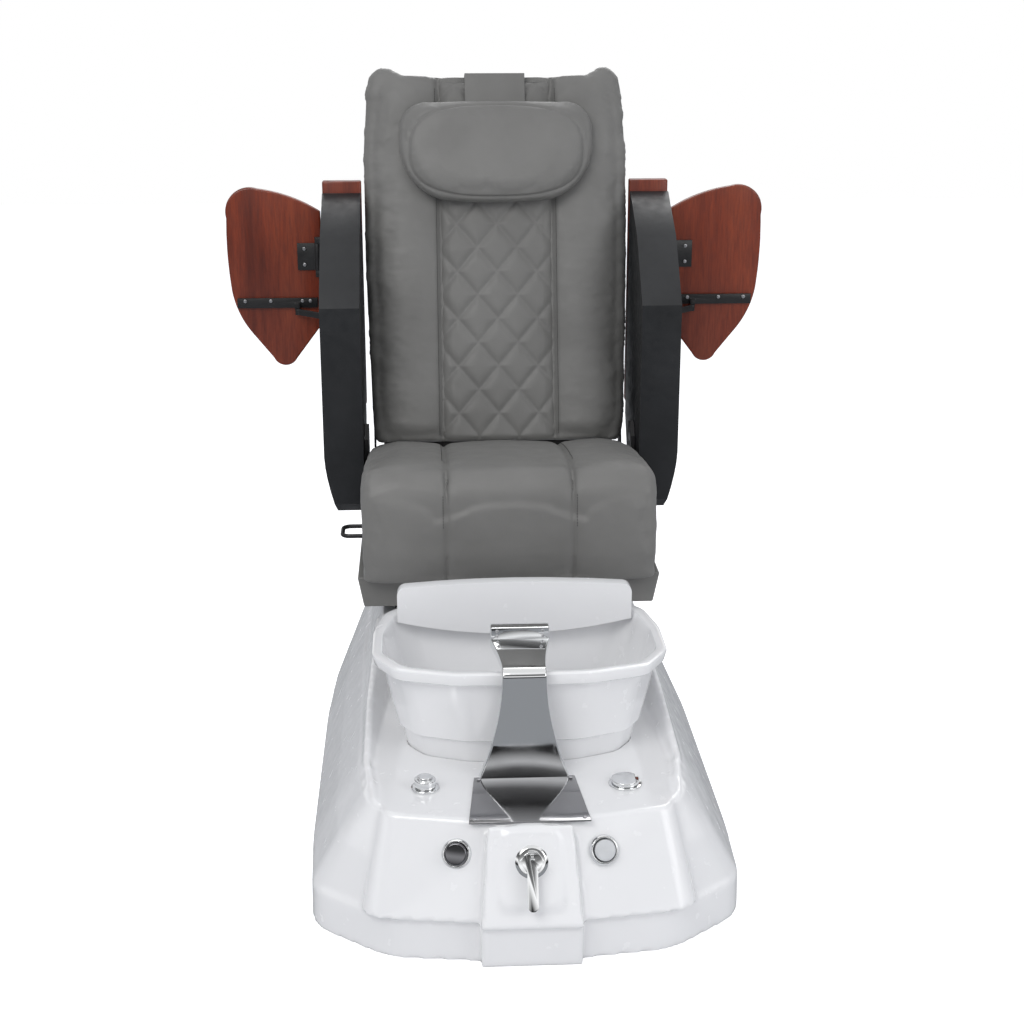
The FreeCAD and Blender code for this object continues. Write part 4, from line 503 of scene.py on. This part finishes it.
def panel_solid():
    """Proud panel down the middle of the console, with a raised pad round the faucet."""
    foot_front, foot_z, top_front, top_z = -768, 79, -697, 233
    rows = [(PANEL_HALF, -758, 0), (PANEL_HALF, -758, 75), (PANEL_HALF, foot_front, foot_z),
            (PANEL_TOP_HALF, top_front, top_z)]
    rings = [[Vector((x * side * MM, y * MM, z * MM))
              for side, y in ((1, front), (1, -PANEL_BACK), (-1, -PANEL_BACK), (-1, front))]
             for x, front, z in rows]
    body = lofted("panel", rings)
    slope = math.atan2(top_front - foot_front, top_z - foot_z)
    out = Vector((0, -math.cos(slope), math.sin(slope)))
    up = Vector((0, math.sin(slope), math.cos(slope)))
    centre = Vector((0, -721.5, CONTROL_HEIGHT)) * MM
    outline = [(-46, -78), (46, -78), (54, -66), (50, 40), (38, 52), (-38, 52), (-50, 40), (-54, -66)]
    pad = lofted("pad", [[centre + Vector((x * k * MM, 0, 0)) + up * (z * k * MM) + out * (d * MM)
                          for x, z in outline] for d, k in ((-12, 1.06), (1.5, 1.04), (5, 0.96))])
    return join("panel", [body, pad])


def shoulder_solid(side):
    """Ridge that rises along one side of the deck towards the seat; rows are y, share, rise and width."""
    stations = [(-598, 0.90, 10, 12), (-458, 0.97, 24, 18), (-241, 0.985, 45, 34), (-95, 0.985, 78, 42),
                (60, 0.985, 97, 50)]
    slope = 85 / 154
    rings = []
    for y, share, rise, width in stations:
        outer = RIDGE_HALF * share
        lean = rise * slope * 0.45
        crest = RIDGE_FOOT + 2 + rise
        rings.append([Vector((side * x * MM, y * MM, z * MM)) for x, z in (
            (outer, RIDGE_FOOT), (outer - lean, crest), (outer - lean - 10, crest),
            (outer - lean - width, RIDGE_FOOT))])
    return lofted("shoulder", rings)


def pedestal_solid(name, inset, low, high):
    """Raised part of the moulding under the seat."""
    wide, half, rear, front = (
        size - inset for size in (RIDGE_HALF, PEDESTAL_HALF, BASE_REAR, PEDESTAL_FRONT))
    bottom = [(0, -front), (0.9 * wide, -front), (0.985 * wide, -front + 60), (0.985 * wide, 320),
              (0.93 * wide, 540), (0.6 * wide, rear - 78), (0, rear - 78)]
    top = [(0, -front + 8), (0.86 * half, -front + 8), (half, -front + 60), (half, 330), (0.95 * half, 470),
           (0.6 * half, rear - 190), (0, rear - 190)]
    return lofted(name, [level_ring(bottom, 40, low), level_ring(top, 40, high)])


def tub_half(z, grow):
    """Half outline of the tub at a height, in millimetres."""
    down = (TUB_RIM - z) / TUB_DEPTH
    wide = 252 * (1 - 0.26 * down) + grow
    front = 471 + grow - TUB_TAPER * down
    back = 158 - grow + TUB_TAPER * down
    span = front - back
    return [(0, -front), (0.46 * wide, -front + 2), (0.84 * wide, -front + 32), (wide, -front + 0.3 * span),
            (wide, -front + 0.62 * span), (0.93 * wide, -back - 0.1 * span), (0.82 * wide, -back - 2),
            (0, -back)]


def tub_ring(z, grow, reach=18):
    """A ring round the tub at a height, grown outwards by a distance."""
    return level_ring(tub_half(z, grow), reach, z)


def console_place(place):
    """Origin and outward direction of a control: place is -1, 0 or 1."""
    share = (CONTROL_HEIGHT - PLINTH_TOP) / CONSOLE_RISE
    half = 264 + (238.2 - 264) * share
    sweep = CONSOLE_SWEEP * (0.8 + 0.2 * share)
    x = CONTROL_SPACING * place
    proud = 10 if place == 0 else 0
    y = -(CONSOLE_FRONT - CONSOLE_RUN * share) + sweep * abs(x) / half - proud
    tilt = math.atan2(CONSOLE_RUN, CONSOLE_RISE)
    yaw = math.atan2(sweep, half) * place
    out = Matrix.Rotation(yaw, 3, "Z") @ Vector((0, -math.cos(tilt), math.sin(tilt)))
    return Vector((x, y, CONTROL_HEIGHT)) * MM, out


def rod(name, start, end, radius, sides=32):
    """A closed cylinder between two points, radius in metres."""
    along = (end - start).normalized()
    across = along.orthogonal().normalized()
    other = along.cross(across)
    rings = [[p + (across * math.cos(a) + other * math.sin(a)) * radius
              for a in (2 * math.pi * k / sides for k in range(sides))] for p in (start, end)]
    return lofted(name, rings)


def make_base():
    """White base moulding: one skin over its parts, hollowed, with the tub and control openings."""
    skin = join("base_moulding", [
        base_solid("body", 0, 0, DECK), console_solid(), panel_solid(), shoulder_solid(1),
        shoulder_solid(-1), pedestal_solid("pedestal", 0, 224, PEDESTAL_TOP)])
    voxels(skin, 5, 3)
    thin = skin.modifiers.new("thin", "DECIMATE")
    thin.ratio = 0.62
    apply_modifiers(skin)
    cutters = [base_solid("hollow", SHELL_WALL, -6, DECK - SHELL_WALL),
               pedestal_solid("upper_hollow", SHELL_WALL, 200, PEDESTAL_TOP - SHELL_WALL),
               lofted("tub_hole", [tub_ring(112, 1), tub_ring(274, 1), tub_ring(278, 7), tub_ring(425, 7)])]
    for place, radius in ((-1, 7), (0, 19), (1, 7)):
        spot, out = console_place(place)
        cutters.append(rod("hole", spot - out * 0.05, spot + out * 0.012, radius * MM))
    for side in (-1, 1):
        spot = Vector((side * DECK_CONTROL_X, DECK_CONTROL_Y, DECK)) * MM
        cutters.append(rod("hole", spot - Vector((0, 0, 0.03)), spot + Vector((0, 0, 0.02)), 0.009))
    subtract(skin, cutters)
    settle(skin, "root", "white_gelcoat", "base_shell", angle=50)


def make_tub():
    """White foot tub with a rolled rim; rows are height, growth and corner reach."""
    rows = [(124, 0, 18), (270, 0, 18), (274, 0.6, 18), (278, 6, 18), (392, 6, 18), (396, 7, 18),
            (398, 13, 18), (398, 17.5, 18), (400, 19.5, 18), (414, 20, 18), (418.2, 18.5, 18),
            (420, 14, 18), (420, 4, 18), (418.4, 1, 18), (414, 0, 18), (396, -0.5, 18), (280, 0, 18),
            (276, -0.6, 18), (272, -6, 18), (152, -6, 18), (140, -8, 18), (133, -14, 28), (130, -26, 30),
            (130, -60, 40)]
    rings = [tub_ring(z, grow, reach) for z, grow, reach in rows]
    bowl = lofted("tub_bowl_moulding", rings)
    wall = -(138 + 20 + TUB_TAPER * (TUB_RIM - JET_HEIGHT) / TUB_DEPTH)
    jet = [Vector((0, wall + shift, JET_HEIGHT)) * MM for shift in (-40, 30)]
    drain = [Vector((0, DRAIN_Y, z)) * MM for z in (90, 150)]
    subtract(bowl, [rod("jet", *jet, JET_RADIUS * MM), rod("drain", *drain, DRAIN_BORE * MM)])
    settle(bowl, "root", "white_gelcoat", "tub_bowl", angle=38)


# Chrome spout.

def make_spout():
    """Flared chrome sheet that bends over the rim into a wide mouth."""
    path = []
    for step in range(25):
        t = step / 24
        z = DECK + (SPOUT_TOP - DECK) * t
        wide = SPOUT_HALF + SPOUT_FLARE * (1 - t) ** 1.9
        thick = SPOUT_THICK + 2.5 * (1 - t) ** 4
        path.append((Vector((0, SPOUT_FOOT_Y, z)), Vector((0, 0, 1)), wide, thick))
    for step in range(1, 9):
        a = math.radians(90 * step / 8)
        centre = Vector((0, SPOUT_BEND_Y - 10 * math.cos(a), SPOUT_TOP + 8 * math.sin(a)))
        path.append((centre, Vector((0, math.sin(a), math.cos(a))), SPOUT_HALF, SPOUT_THICK))
    for step in range(1, 15):
        t = step / 14
        centre = Vector((0, SPOUT_BEND_Y + 130 * t, SPOUT_TOP + 8))
        path.append((centre, Vector((0, 1, 0)), SPOUT_HALF + 15 * t ** 1.6, SPOUT_THICK))
    rings = []
    for centre, along, wide, thick in path:
        face = Vector((0, -along.z, along.y))
        corner = [(wide, -thick), (wide, thick), (-wide, thick), (-wide, -thick)]
        rings.append([(centre + Vector((p[0], 0, 0)) + face * p[1]) * MM for p in rounded(corner, 3.2, 3)])
    column = lofted("spout_column", rings)
    mouth = lofted("spout_mouth", [[Vector((x * MM, y * MM, z * MM)) for x, z in rounded(
        [(-MOUTH_HALF, SPOUT_TOP), (MOUTH_HALF, SPOUT_TOP),
         (MOUTH_HALF, MOUTH_TOP), (-MOUTH_HALF, MOUTH_TOP)], 3, 3)] for y in (-372, -346)])
    slot = lofted("slot", [[Vector((x * MM, y * MM, z * MM)) for x, z in (
        (-MOUTH_GAP_HALF, 430), (MOUTH_GAP_HALF, 430), (MOUTH_GAP_HALF, 437), (-MOUTH_GAP_HALF, 437))]
        for y in (-360, -340)])
    bevel(mouth, 1.5, 2, 60)
    subtract(mouth, [slot])
    settle(join("waterfall_spout_sheet", [column, mouth]), "root", "chrome", "waterfall_spout", angle=35)


# Cushions.

def back_point(x, y, z):
    """A point of the backrest's own frame, in millimetres, as a world point."""
    return BACK_FRAME @ Vector((x * MM, y * MM, z * MM))


def swell(piece, cap, pressure=4.0, hold=None):
    """Blow a cushion up with cloth under pressure, and stop each point at a cap in millimetres."""
    start = [v.co.copy() for v in piece.data.vertices]
    cloth = piece.modifiers.new("cloth", "CLOTH")
    settings = cloth.settings
    settings.quality = 4
    settings.mass = 0.3
    settings.tension_stiffness = 12
    settings.compression_stiffness = 12
    settings.shear_stiffness = 5
    settings.bending_stiffness = 0.6
    settings.use_pressure = True
    settings.uniform_pressure_force = pressure
    settings.effector_weights.gravity = 0
    cloth.point_cache.frame_start = 1
    cloth.point_cache.frame_end = 20
    scene = bpy.context.scene
    for number in range(1, 21):
        scene.frame_set(number)
    graph = bpy.context.evaluated_depsgraph_get()
    result = piece.evaluated_get(graph).data
    moved = [v.co.copy() for v in result.vertices]
    piece.modifiers.clear()
    scene.frame_set(1)
    limit = cap * MM
    normals = [v.normal.copy() for v in piece.data.vertices]
    for vertex, old, new, normal in zip(piece.data.vertices, start, moved, normals):
        shift = new - old
        inwards = min(0.0, shift.dot(normal) + 0.001)
        shift -= normal * inwards
        if shift.length > limit:
            shift *= limit / shift.length
        vertex.co = old + shift * (hold(old) if hold else 1.0)
    piece.data.update()


def shrink(piece, inset):
    """Move each point in along its normal, in millimetres."""
    normals = [v.normal.copy() for v in piece.data.vertices]
    for vertex, normal in zip(piece.data.vertices, normals):
        vertex.co -= normal * inset * MM
    piece.data.update()


def refine(piece):
    """One round of subdivision."""
    finer = piece.modifiers.new("finer", "SUBSURF")
    finer.levels = finer.render_levels = 1
    apply_modifiers(piece)


def dent(distance, width, depth):
    """A sewn line's depth at a distance from it, all in millimetres."""
    return depth * math.exp(-(distance / width) ** 2)


def reshape(piece, move, space=None):
    """Move every vertex by a function of its place and normal, in millimetres of a frame."""
    space = space or Matrix.Identity(4)
    inverse = space.inverted()
    turn = inverse.to_3x3()
    normals = [turn @ v.normal for v in piece.data.vertices]
    for vertex, normal in zip(piece.data.vertices, normals):
        place = (inverse @ vertex.co) / MM
        vertex.co = space @ ((place + move(place, normal)) * MM)
    piece.data.update()


def creases(place, scale, seed):
    """Soft leather creases, about -1 to 1."""
    sample = Vector((place.x * scale[0], place.y * scale[1], place.z * scale[2] + seed))
    return noise.fractal(sample, 0.9, 2.2, 3)


def seam_distance(place):
    """Distance across from the nearer of the two long seams."""
    return min(abs(place.x - SEAM_X), abs(place.x + SEAM_X))


def make_seat_cushion():
    """Seat cushion with two sewn seams and soft creases."""
    piece = copy_node("seat_cushion_cover", "seat_cushion")
    voxels(piece, 7, 3)
    shrink(piece, 0.5)
    swell(piece, 6)
    refine(piece)

    def sew(p, normal):
        open_side = 1.0 if normal.z > 0.25 or normal.y < -0.4 else 0.0
        move = -normal * dent(seam_distance(p), 3.6, 3.6) * open_side
        edge = max(0.0, (abs(p.x) - 200) / 98)
        move += normal * creases(p, (0.008, 0.016, 0.016), 3.0) * (1.1 + 1.8 * edge)
        return move

    reshape(piece, sew)
    settle(piece, "seat", "grey_leather", "seat_cushion", angle=180)


def make_back_cushion():
    """Back cushion with two bolsters and a sunken middle for the quilted panel."""
    piece = copy_node("back_cushion_cover", "back_cushion")
    voxels(piece, 7, 3)
    shrink(piece, 0.5)

    def hold(world):
        local = BACK_FRAME.inverted() @ world
        return 0.25 if abs(local.x) < 0.11 and local.y < 0.02 else 1.0

    swell(piece, 7, 4.0, hold)
    refine(piece)

    def sew(p, normal):
        corner = share_of(p.z, 770, 825) * share_of(abs(p.x), 190, 260)
        square = Vector((math.copysign(11 * corner, p.x), 0, 0))
        if normal.y > -0.2:
            return square
        move = Vector((0, dent(seam_distance(p), 6.5, 7), 0)) + square
        if abs(p.x) < SEAM_X:
            move.y = max(move.y, 5 - p.y if p.y < 5 else 0)
        edge = max(0.0, (abs(p.x) - 190) / 108)
        move += normal * creases(p, (0.011, 0.012, 0.017), 9.0) * (1.4 + 3.4 * edge)
        return move

    reshape(piece, sew, BACK_FRAME)
    settle(piece, "back", "grey_leather", "back_cushion", angle=180)


def make_quilted_panel():
    """Diamond quilting between the bolsters, as one fine sheet with a back and sides."""
    wide, low, high, back = 125.5, 6.0, 812.0, 16
    columns, rows = 104, 330

    def depth(x, u):
        a = (u - DIAMOND_START) / DIAMOND_TALL + x / DIAMOND_WIDE
        b = (u - DIAMOND_START) / DIAMOND_TALL - x / DIAMOND_WIDE
        unit = 1 / math.hypot(1 / DIAMOND_TALL, 1 / DIAMOND_WIDE)
        line = min(abs(a - round(a)), abs(b - round(b))) * unit
        puff = 5.2 * (1 - math.exp(-(line / 9) ** 1.4))
        rim = min(wide - abs(x), 22) / 22
        ends = min(u - low, high - u, 16) / 16
        tuck = 8 * (1 - math.sqrt(max(0.0, 1 - (1 - rim) ** 2)))
        close = 8 * (1 - max(0.0, ends)) ** 2
        wrinkle = 0.7 * noise.noise(Vector((x * 0.02, u * 0.035, 1.7)))
        crown = 12 * (1 - (x / SEAM_X) ** 2)
        return -crown + 2.5 - puff * (0.35 + 0.65 * rim) + tuck + close + wrinkle

    vertices = []
    for row in range(rows + 1):
        u = low + (high - low) * row / rows
        for column in range(columns + 1):
            x = -wide + 2 * wide * column / columns
            dip = 10 * max(0.0, (u - 780) / 40) * (1 - (x / SEAM_X) ** 2)
            vertices.append(back_point(x, depth(x, u), u - dip))
    front = len(vertices)
    for row in range(rows + 1):
        u = low + (high - low) * row / rows
        for x in (-wide, wide):
            vertices.append(back_point(x, back, u))
    faces = []
    step = columns + 1
    for row in range(rows):
        for column in range(columns):
            a = row * step + column
            faces.append((a, a + 1, a + 1 + step, a + step))
        left, right = front + 2 * row, front + 2 * row + 1
        faces.append((row * step, (row + 1) * step, left + 2, left))
        faces.append((row * step + columns, right, right + 2, (row + 1) * step + columns))
        faces.append((left, left + 2, right + 2, right))
    faces.append(tuple(range(columns + 1)) + (front + 1, front))
    top = rows * step
    top_back = front + 2 * rows
    faces.append(tuple(top + columns - k for k in range(columns + 1)) + (top_back, top_back + 1))
    piece = new_object("quilted_panel", vertices, faces)
    outwards(piece)
    settle(piece, "back", "grey_leather", angle=180)


def stitch_rows(name, body, target, rays, aim):
    """Short threads along rows of points dropped onto a cushion; each row is a list of ray starts."""
    vertices, faces = [], []
    for row in rays:
        hits = []
        for start in row:
            found, spot, normal, _ = target.ray_cast(start, aim)
            if found:
                hits.append((spot, normal))
        for (spot, normal), (following, _) in zip(hits, hits[1:]):
            if (following - spot).length > 0.02:
                continue
            along = (following - spot) * 0.34
            middle = (following + spot) / 2 + normal * 0.0002
            across = normal.cross(along).normalized() * 0.00075
            rise = normal * 0.0007
            first = len(vertices)
            for end in (-1, 1):
                for k in range(6):
                    turn = math.radians(60 * k)
                    vertices.append(middle + along * end + across * math.cos(turn) + rise * math.sin(turn))
            for k in range(6):
                after = (k + 1) % 6
                faces.append((first + k, first + after, first + 6 + after, first + 6 + k))
            faces.append(tuple(first + k for k in range(5, -1, -1)))
            faces.append(tuple(first + 6 + k for k in range(6)))
    piece = new_object(name, vertices, faces)
    outwards(piece)
    settle(piece, body, "grey_leather", finish=THREAD, angle=50)


def make_stitches():
    """Rows of stitches beside the seams of the seat and the back."""
    pieces = bpy.data.objects
    front = BACK_FRAME.to_3x3() @ Vector((0, 1, 0))
    rows = [[back_point(side * (SEAM_X + STITCH_GAP), -160, 20 + STITCH_PITCH * k) for k in range(142)]
            for side in (-1, 1)]
    stitch_rows("back_stitches", "back", pieces["back_cushion_cover"], rows, front)
    seat_row = SEAM_X + 7
    rows = [[Vector((side * seat_row, 80 + STITCH_PITCH * k, 750)) * MM for k in range(60)]
            for side in (-1, 1)]
    stitch_rows("seat_top_stitches", "seat", pieces["seat_cushion_cover"], rows, Vector((0, 0, -1)))
    rows = [[Vector((side * seat_row, -50, 545 + STITCH_PITCH * k)) * MM for k in range(13)]
            for side in (-1, 1)]
    stitch_rows("seat_front_stitches", "seat", pieces["seat_cushion_cover"], rows, Vector((0, 1, 0)))


def make_pillow():
    """Head pillow with a sewn edge line."""
    half, middle, rise, power = 216, 644.5, 112.5, 2.7
    piece = copy_node("head_pillow_cover", "head_pillow")
    voxels(piece, 5, 4)
    shrink(piece, 0.5)
    swell(piece, 5, 5.0)
    refine(piece)

    def sew(p, normal):
        x = abs(p.x) / half
        z = (p.z - middle) / rise
        ring = (x ** power + abs(z) ** power) ** (1 / power)
        move = -normal * dent((ring - 0.9) * 150, 3.2, 2.6) * (1.0 if normal.y < -0.25 else 0.0)
        return move + normal * 0.8 * creases(p, (0.01, 0.01, 0.014), 5.0)

    reshape(piece, sew, BACK_FRAME)
    settle(piece, "back", "grey_leather", "head_pillow", angle=180)


def make_strap():
    """Strap that holds the pillow over the top of the back."""
    piece = copy_node("pillow_strap_webbing", "pillow_strap")
    bevel(piece, 1.0, 2)
    settle(piece, "back", "grey_leather", "pillow_strap")


def make_rigid():
    """Rigid nodes whose edges are rounded as the real mouldings and boards are."""
    for node, width, segments in (
            ("splash_panel", 6, 4), ("seat_skirt", 9, 4), ("deck_plate", 0.8, 2),
            ("arm_left", 7, 4), ("arm_right", 7, 4), ("arm_left_cap", 4, 3), ("arm_right_cap", 4, 3),
            ("tray_left_board", 4, 4), ("tray_right_board", 4, 4),
            ("tray_left_bracket", 1, 2), ("tray_right_bracket", 1, 2),
            ("arm_left_hinge", 0.8, 2), ("arm_right_hinge", 0.8, 2),
            ("tray_left_strut", 0.8, 2), ("tray_right_strut", 0.8, 2),
            ("faucet_lever", 2.2, 3), ("faucet_hub", 1, 2), ("faucet_escutcheon", 0.8, 2),
            ("left_knob", 0.8, 2), ("air_button", 1.2, 3), ("control_bezels", 0.8, 2),
            ("hand_sprayer", 1.5, 3), ("sprayer_socket", 0.8, 2), ("drain_knob", 1.5, 3),
            ("drain_bezel", 0.8, 2), ("back_shell", 6, 4), ("rear_access_panel", 1, 2),
            ("jet_grille", 0.8, 2), ("drain_plug", 1, 2), ("trim_screws", 0.5, 2),
            ("tray_left_screws", 0.5, 2), ("tray_right_screws", 0.5, 2),
            ("base_frame", 2, 2), ("chassis", 2, 2), ("seat_runners", 0.8, 2), ("slide_rails", 0.8, 2),
            ("massage_carriage", 2, 2), ("actuator_motor", 2, 2), ("jet_pump", 1.5, 2),
            ("control_box", 3, 2), ("power_gland", 0.8, 2), ("splash_brackets", 0.6, 2)):
        rounded_node(node, width, segments)


def dress_nodes():
    """Finishes for the CAD nodes that stay as they are."""
    for node, piece in NODES.items():
        finish = FINISHES[NODE_SLOT[node]]
        if not piece.material_slots:
            piece.data.materials.append(finish)
        for slot in piece.material_slots:
            slot.material = finish


# Staging.

def light(name, place, aim, size, power, color=(1, 1, 1)):
    """A soft area light aimed at a point."""
    lamp = bpy.data.lights.new(name, "AREA")
    lamp.shape = "RECTANGLE"
    lamp.size, lamp.size_y = size
    lamp.energy = power
    lamp.color = color
    holder = bpy.data.objects.new(name, lamp)
    holder.location = place
    holder.rotation_euler = (Vector(aim) - Vector(place)).to_track_quat("-Z", "Y").to_euler()
    bpy.context.scene.collection.objects.link(holder)


def make_floor():
    """Pale floor: white to the camera, darker in reflections."""
    floor = new_object("floor", [(-9, -9, 0), (9, -9, 0), (9, 9, 0), (-9, 9, 0)], [(0, 1, 2, 3)])
    paint = bpy.data.materials.new("pale_floor")
    paint.use_nodes = True
    tree = paint.node_tree
    shader = tree.nodes["Principled BSDF"]
    shader.inputs["Base Color"].default_value = (0.86, 0.86, 0.87, 1)
    shader.inputs["Roughness"].default_value = 0.9
    shader.inputs["Emission Color"].default_value = (1, 1, 1, 1)
    rays = tree.nodes.new("ShaderNodeLightPath")
    glow = tree.nodes.new("ShaderNodeMath")
    glow.operation = "MULTIPLY"
    glow.inputs[1].default_value = 0.62
    tree.links.new(rays.outputs["Is Camera Ray"], glow.inputs[0])
    tree.links.new(glow.outputs[0], shader.inputs["Emission Strength"])
    tone = tree.nodes.new("ShaderNodeMix")
    tone.data_type = "RGBA"
    tone.inputs["A"].default_value = (0.86, 0.86, 0.87, 1)
    tone.inputs["B"].default_value = (0.30, 0.31, 0.32, 1)
    tree.links.new(rays.outputs["Is Glossy Ray"], tone.inputs["Factor"])
    tree.links.new(tone.outputs["Result"], shader.inputs["Base Color"])
    floor.data.materials.append(paint)


def make_world():
    """White to the camera, even light for the piece, dark and light bands in its reflections."""
    world = bpy.data.worlds.new("studio")
    bpy.context.scene.world = world
    world.use_nodes = True
    tree = world.node_tree
    tree.nodes.clear()
    output = tree.nodes.new("ShaderNodeOutputWorld")
    mix = tree.nodes.new("ShaderNodeMixShader")
    room = tree.nodes.new("ShaderNodeBackground")
    room.inputs["Color"].default_value = (0.93, 0.95, 1, 1)
    room.inputs["Strength"].default_value = 0.62
    white = tree.nodes.new("ShaderNodeBackground")
    white.inputs["Color"].default_value = (1, 1, 1, 1)
    rays = tree.nodes.new("ShaderNodeLightPath")
    tree.links.new(rays.outputs["Is Camera Ray"], mix.inputs["Fac"])
    direction = tree.nodes.new("ShaderNodeTexCoord")
    split = tree.nodes.new("ShaderNodeSeparateXYZ")
    tree.links.new(direction.outputs["Generated"], split.inputs[0])
    bands = tree.nodes.new("ShaderNodeValToRGB")
    levels = [(0.0, 0.03), (0.10, 0.05), (0.17, 0.55), (0.30, 1.3), (0.42, 0.25), (0.60, 0.06), (0.80, 1.1),
              (1.0, 0.9)]
    while len(bands.color_ramp.elements) < len(levels):
        bands.color_ramp.elements.new(0.5)
    for element, (position, level) in zip(bands.color_ramp.elements, levels):
        element.position = position
        element.color = (level, level, level, 1)
    tree.links.new(split.outputs["Z"], bands.inputs["Fac"])
    studio = tree.nodes.new("ShaderNodeBackground")
    tree.links.new(bands.outputs["Color"], studio.inputs["Color"])
    choose = tree.nodes.new("ShaderNodeMixShader")
    tree.links.new(rays.outputs["Is Glossy Ray"], choose.inputs["Fac"])
    tree.links.new(room.outputs[0], choose.inputs[1])
    tree.links.new(studio.outputs[0], choose.inputs[2])
    tree.links.new(choose.outputs[0], mix.inputs[1])
    tree.links.new(white.outputs[0], mix.inputs[2])
    tree.links.new(mix.outputs[0], output.inputs["Surface"])


def make_stage():
    """Floor, surroundings and three soft lights."""
    make_floor()
    make_world()
    light("key", (-1.6, -2.6, 3.2), (0, 0, 0.6), (2.2, 1.6), 48, (1, 0.99, 0.97))
    light("fill", (2.4, -2.2, 1.9), (0, 0, 0.5), (1.6, 1.6), 18)
    light("rim", (0.4, 2.6, 2.8), (0, 0.3, 0.8), (2.4, 1.2), 34)


def make_camera():
    """The photo's camera: its focal length is 1683 pixels on a picture 1024 wide."""
    camera = bpy.data.cameras.new("view")
    camera.sensor_width = 36
    camera.lens = 1683 / 1024 * camera.sensor_width
    holder = bpy.data.objects.new("view", camera)
    holder.location = (-0.165, -3.225, 1.607)
    holder.rotation_euler = (math.radians(90 - 17.9), 0, math.radians(-3.02))
    bpy.context.scene.collection.objects.link(holder)
    bpy.context.scene.camera = holder


bpy.context.scene.view_settings.view_transform = "Standard"
make_camera()
dress_nodes()
make_base()
make_tub()
make_spout()
make_rigid()
make_seat_cushion()
make_back_cushion()
make_quilted_panel()
make_pillow()
make_strap()
make_stitches()
make_stage()
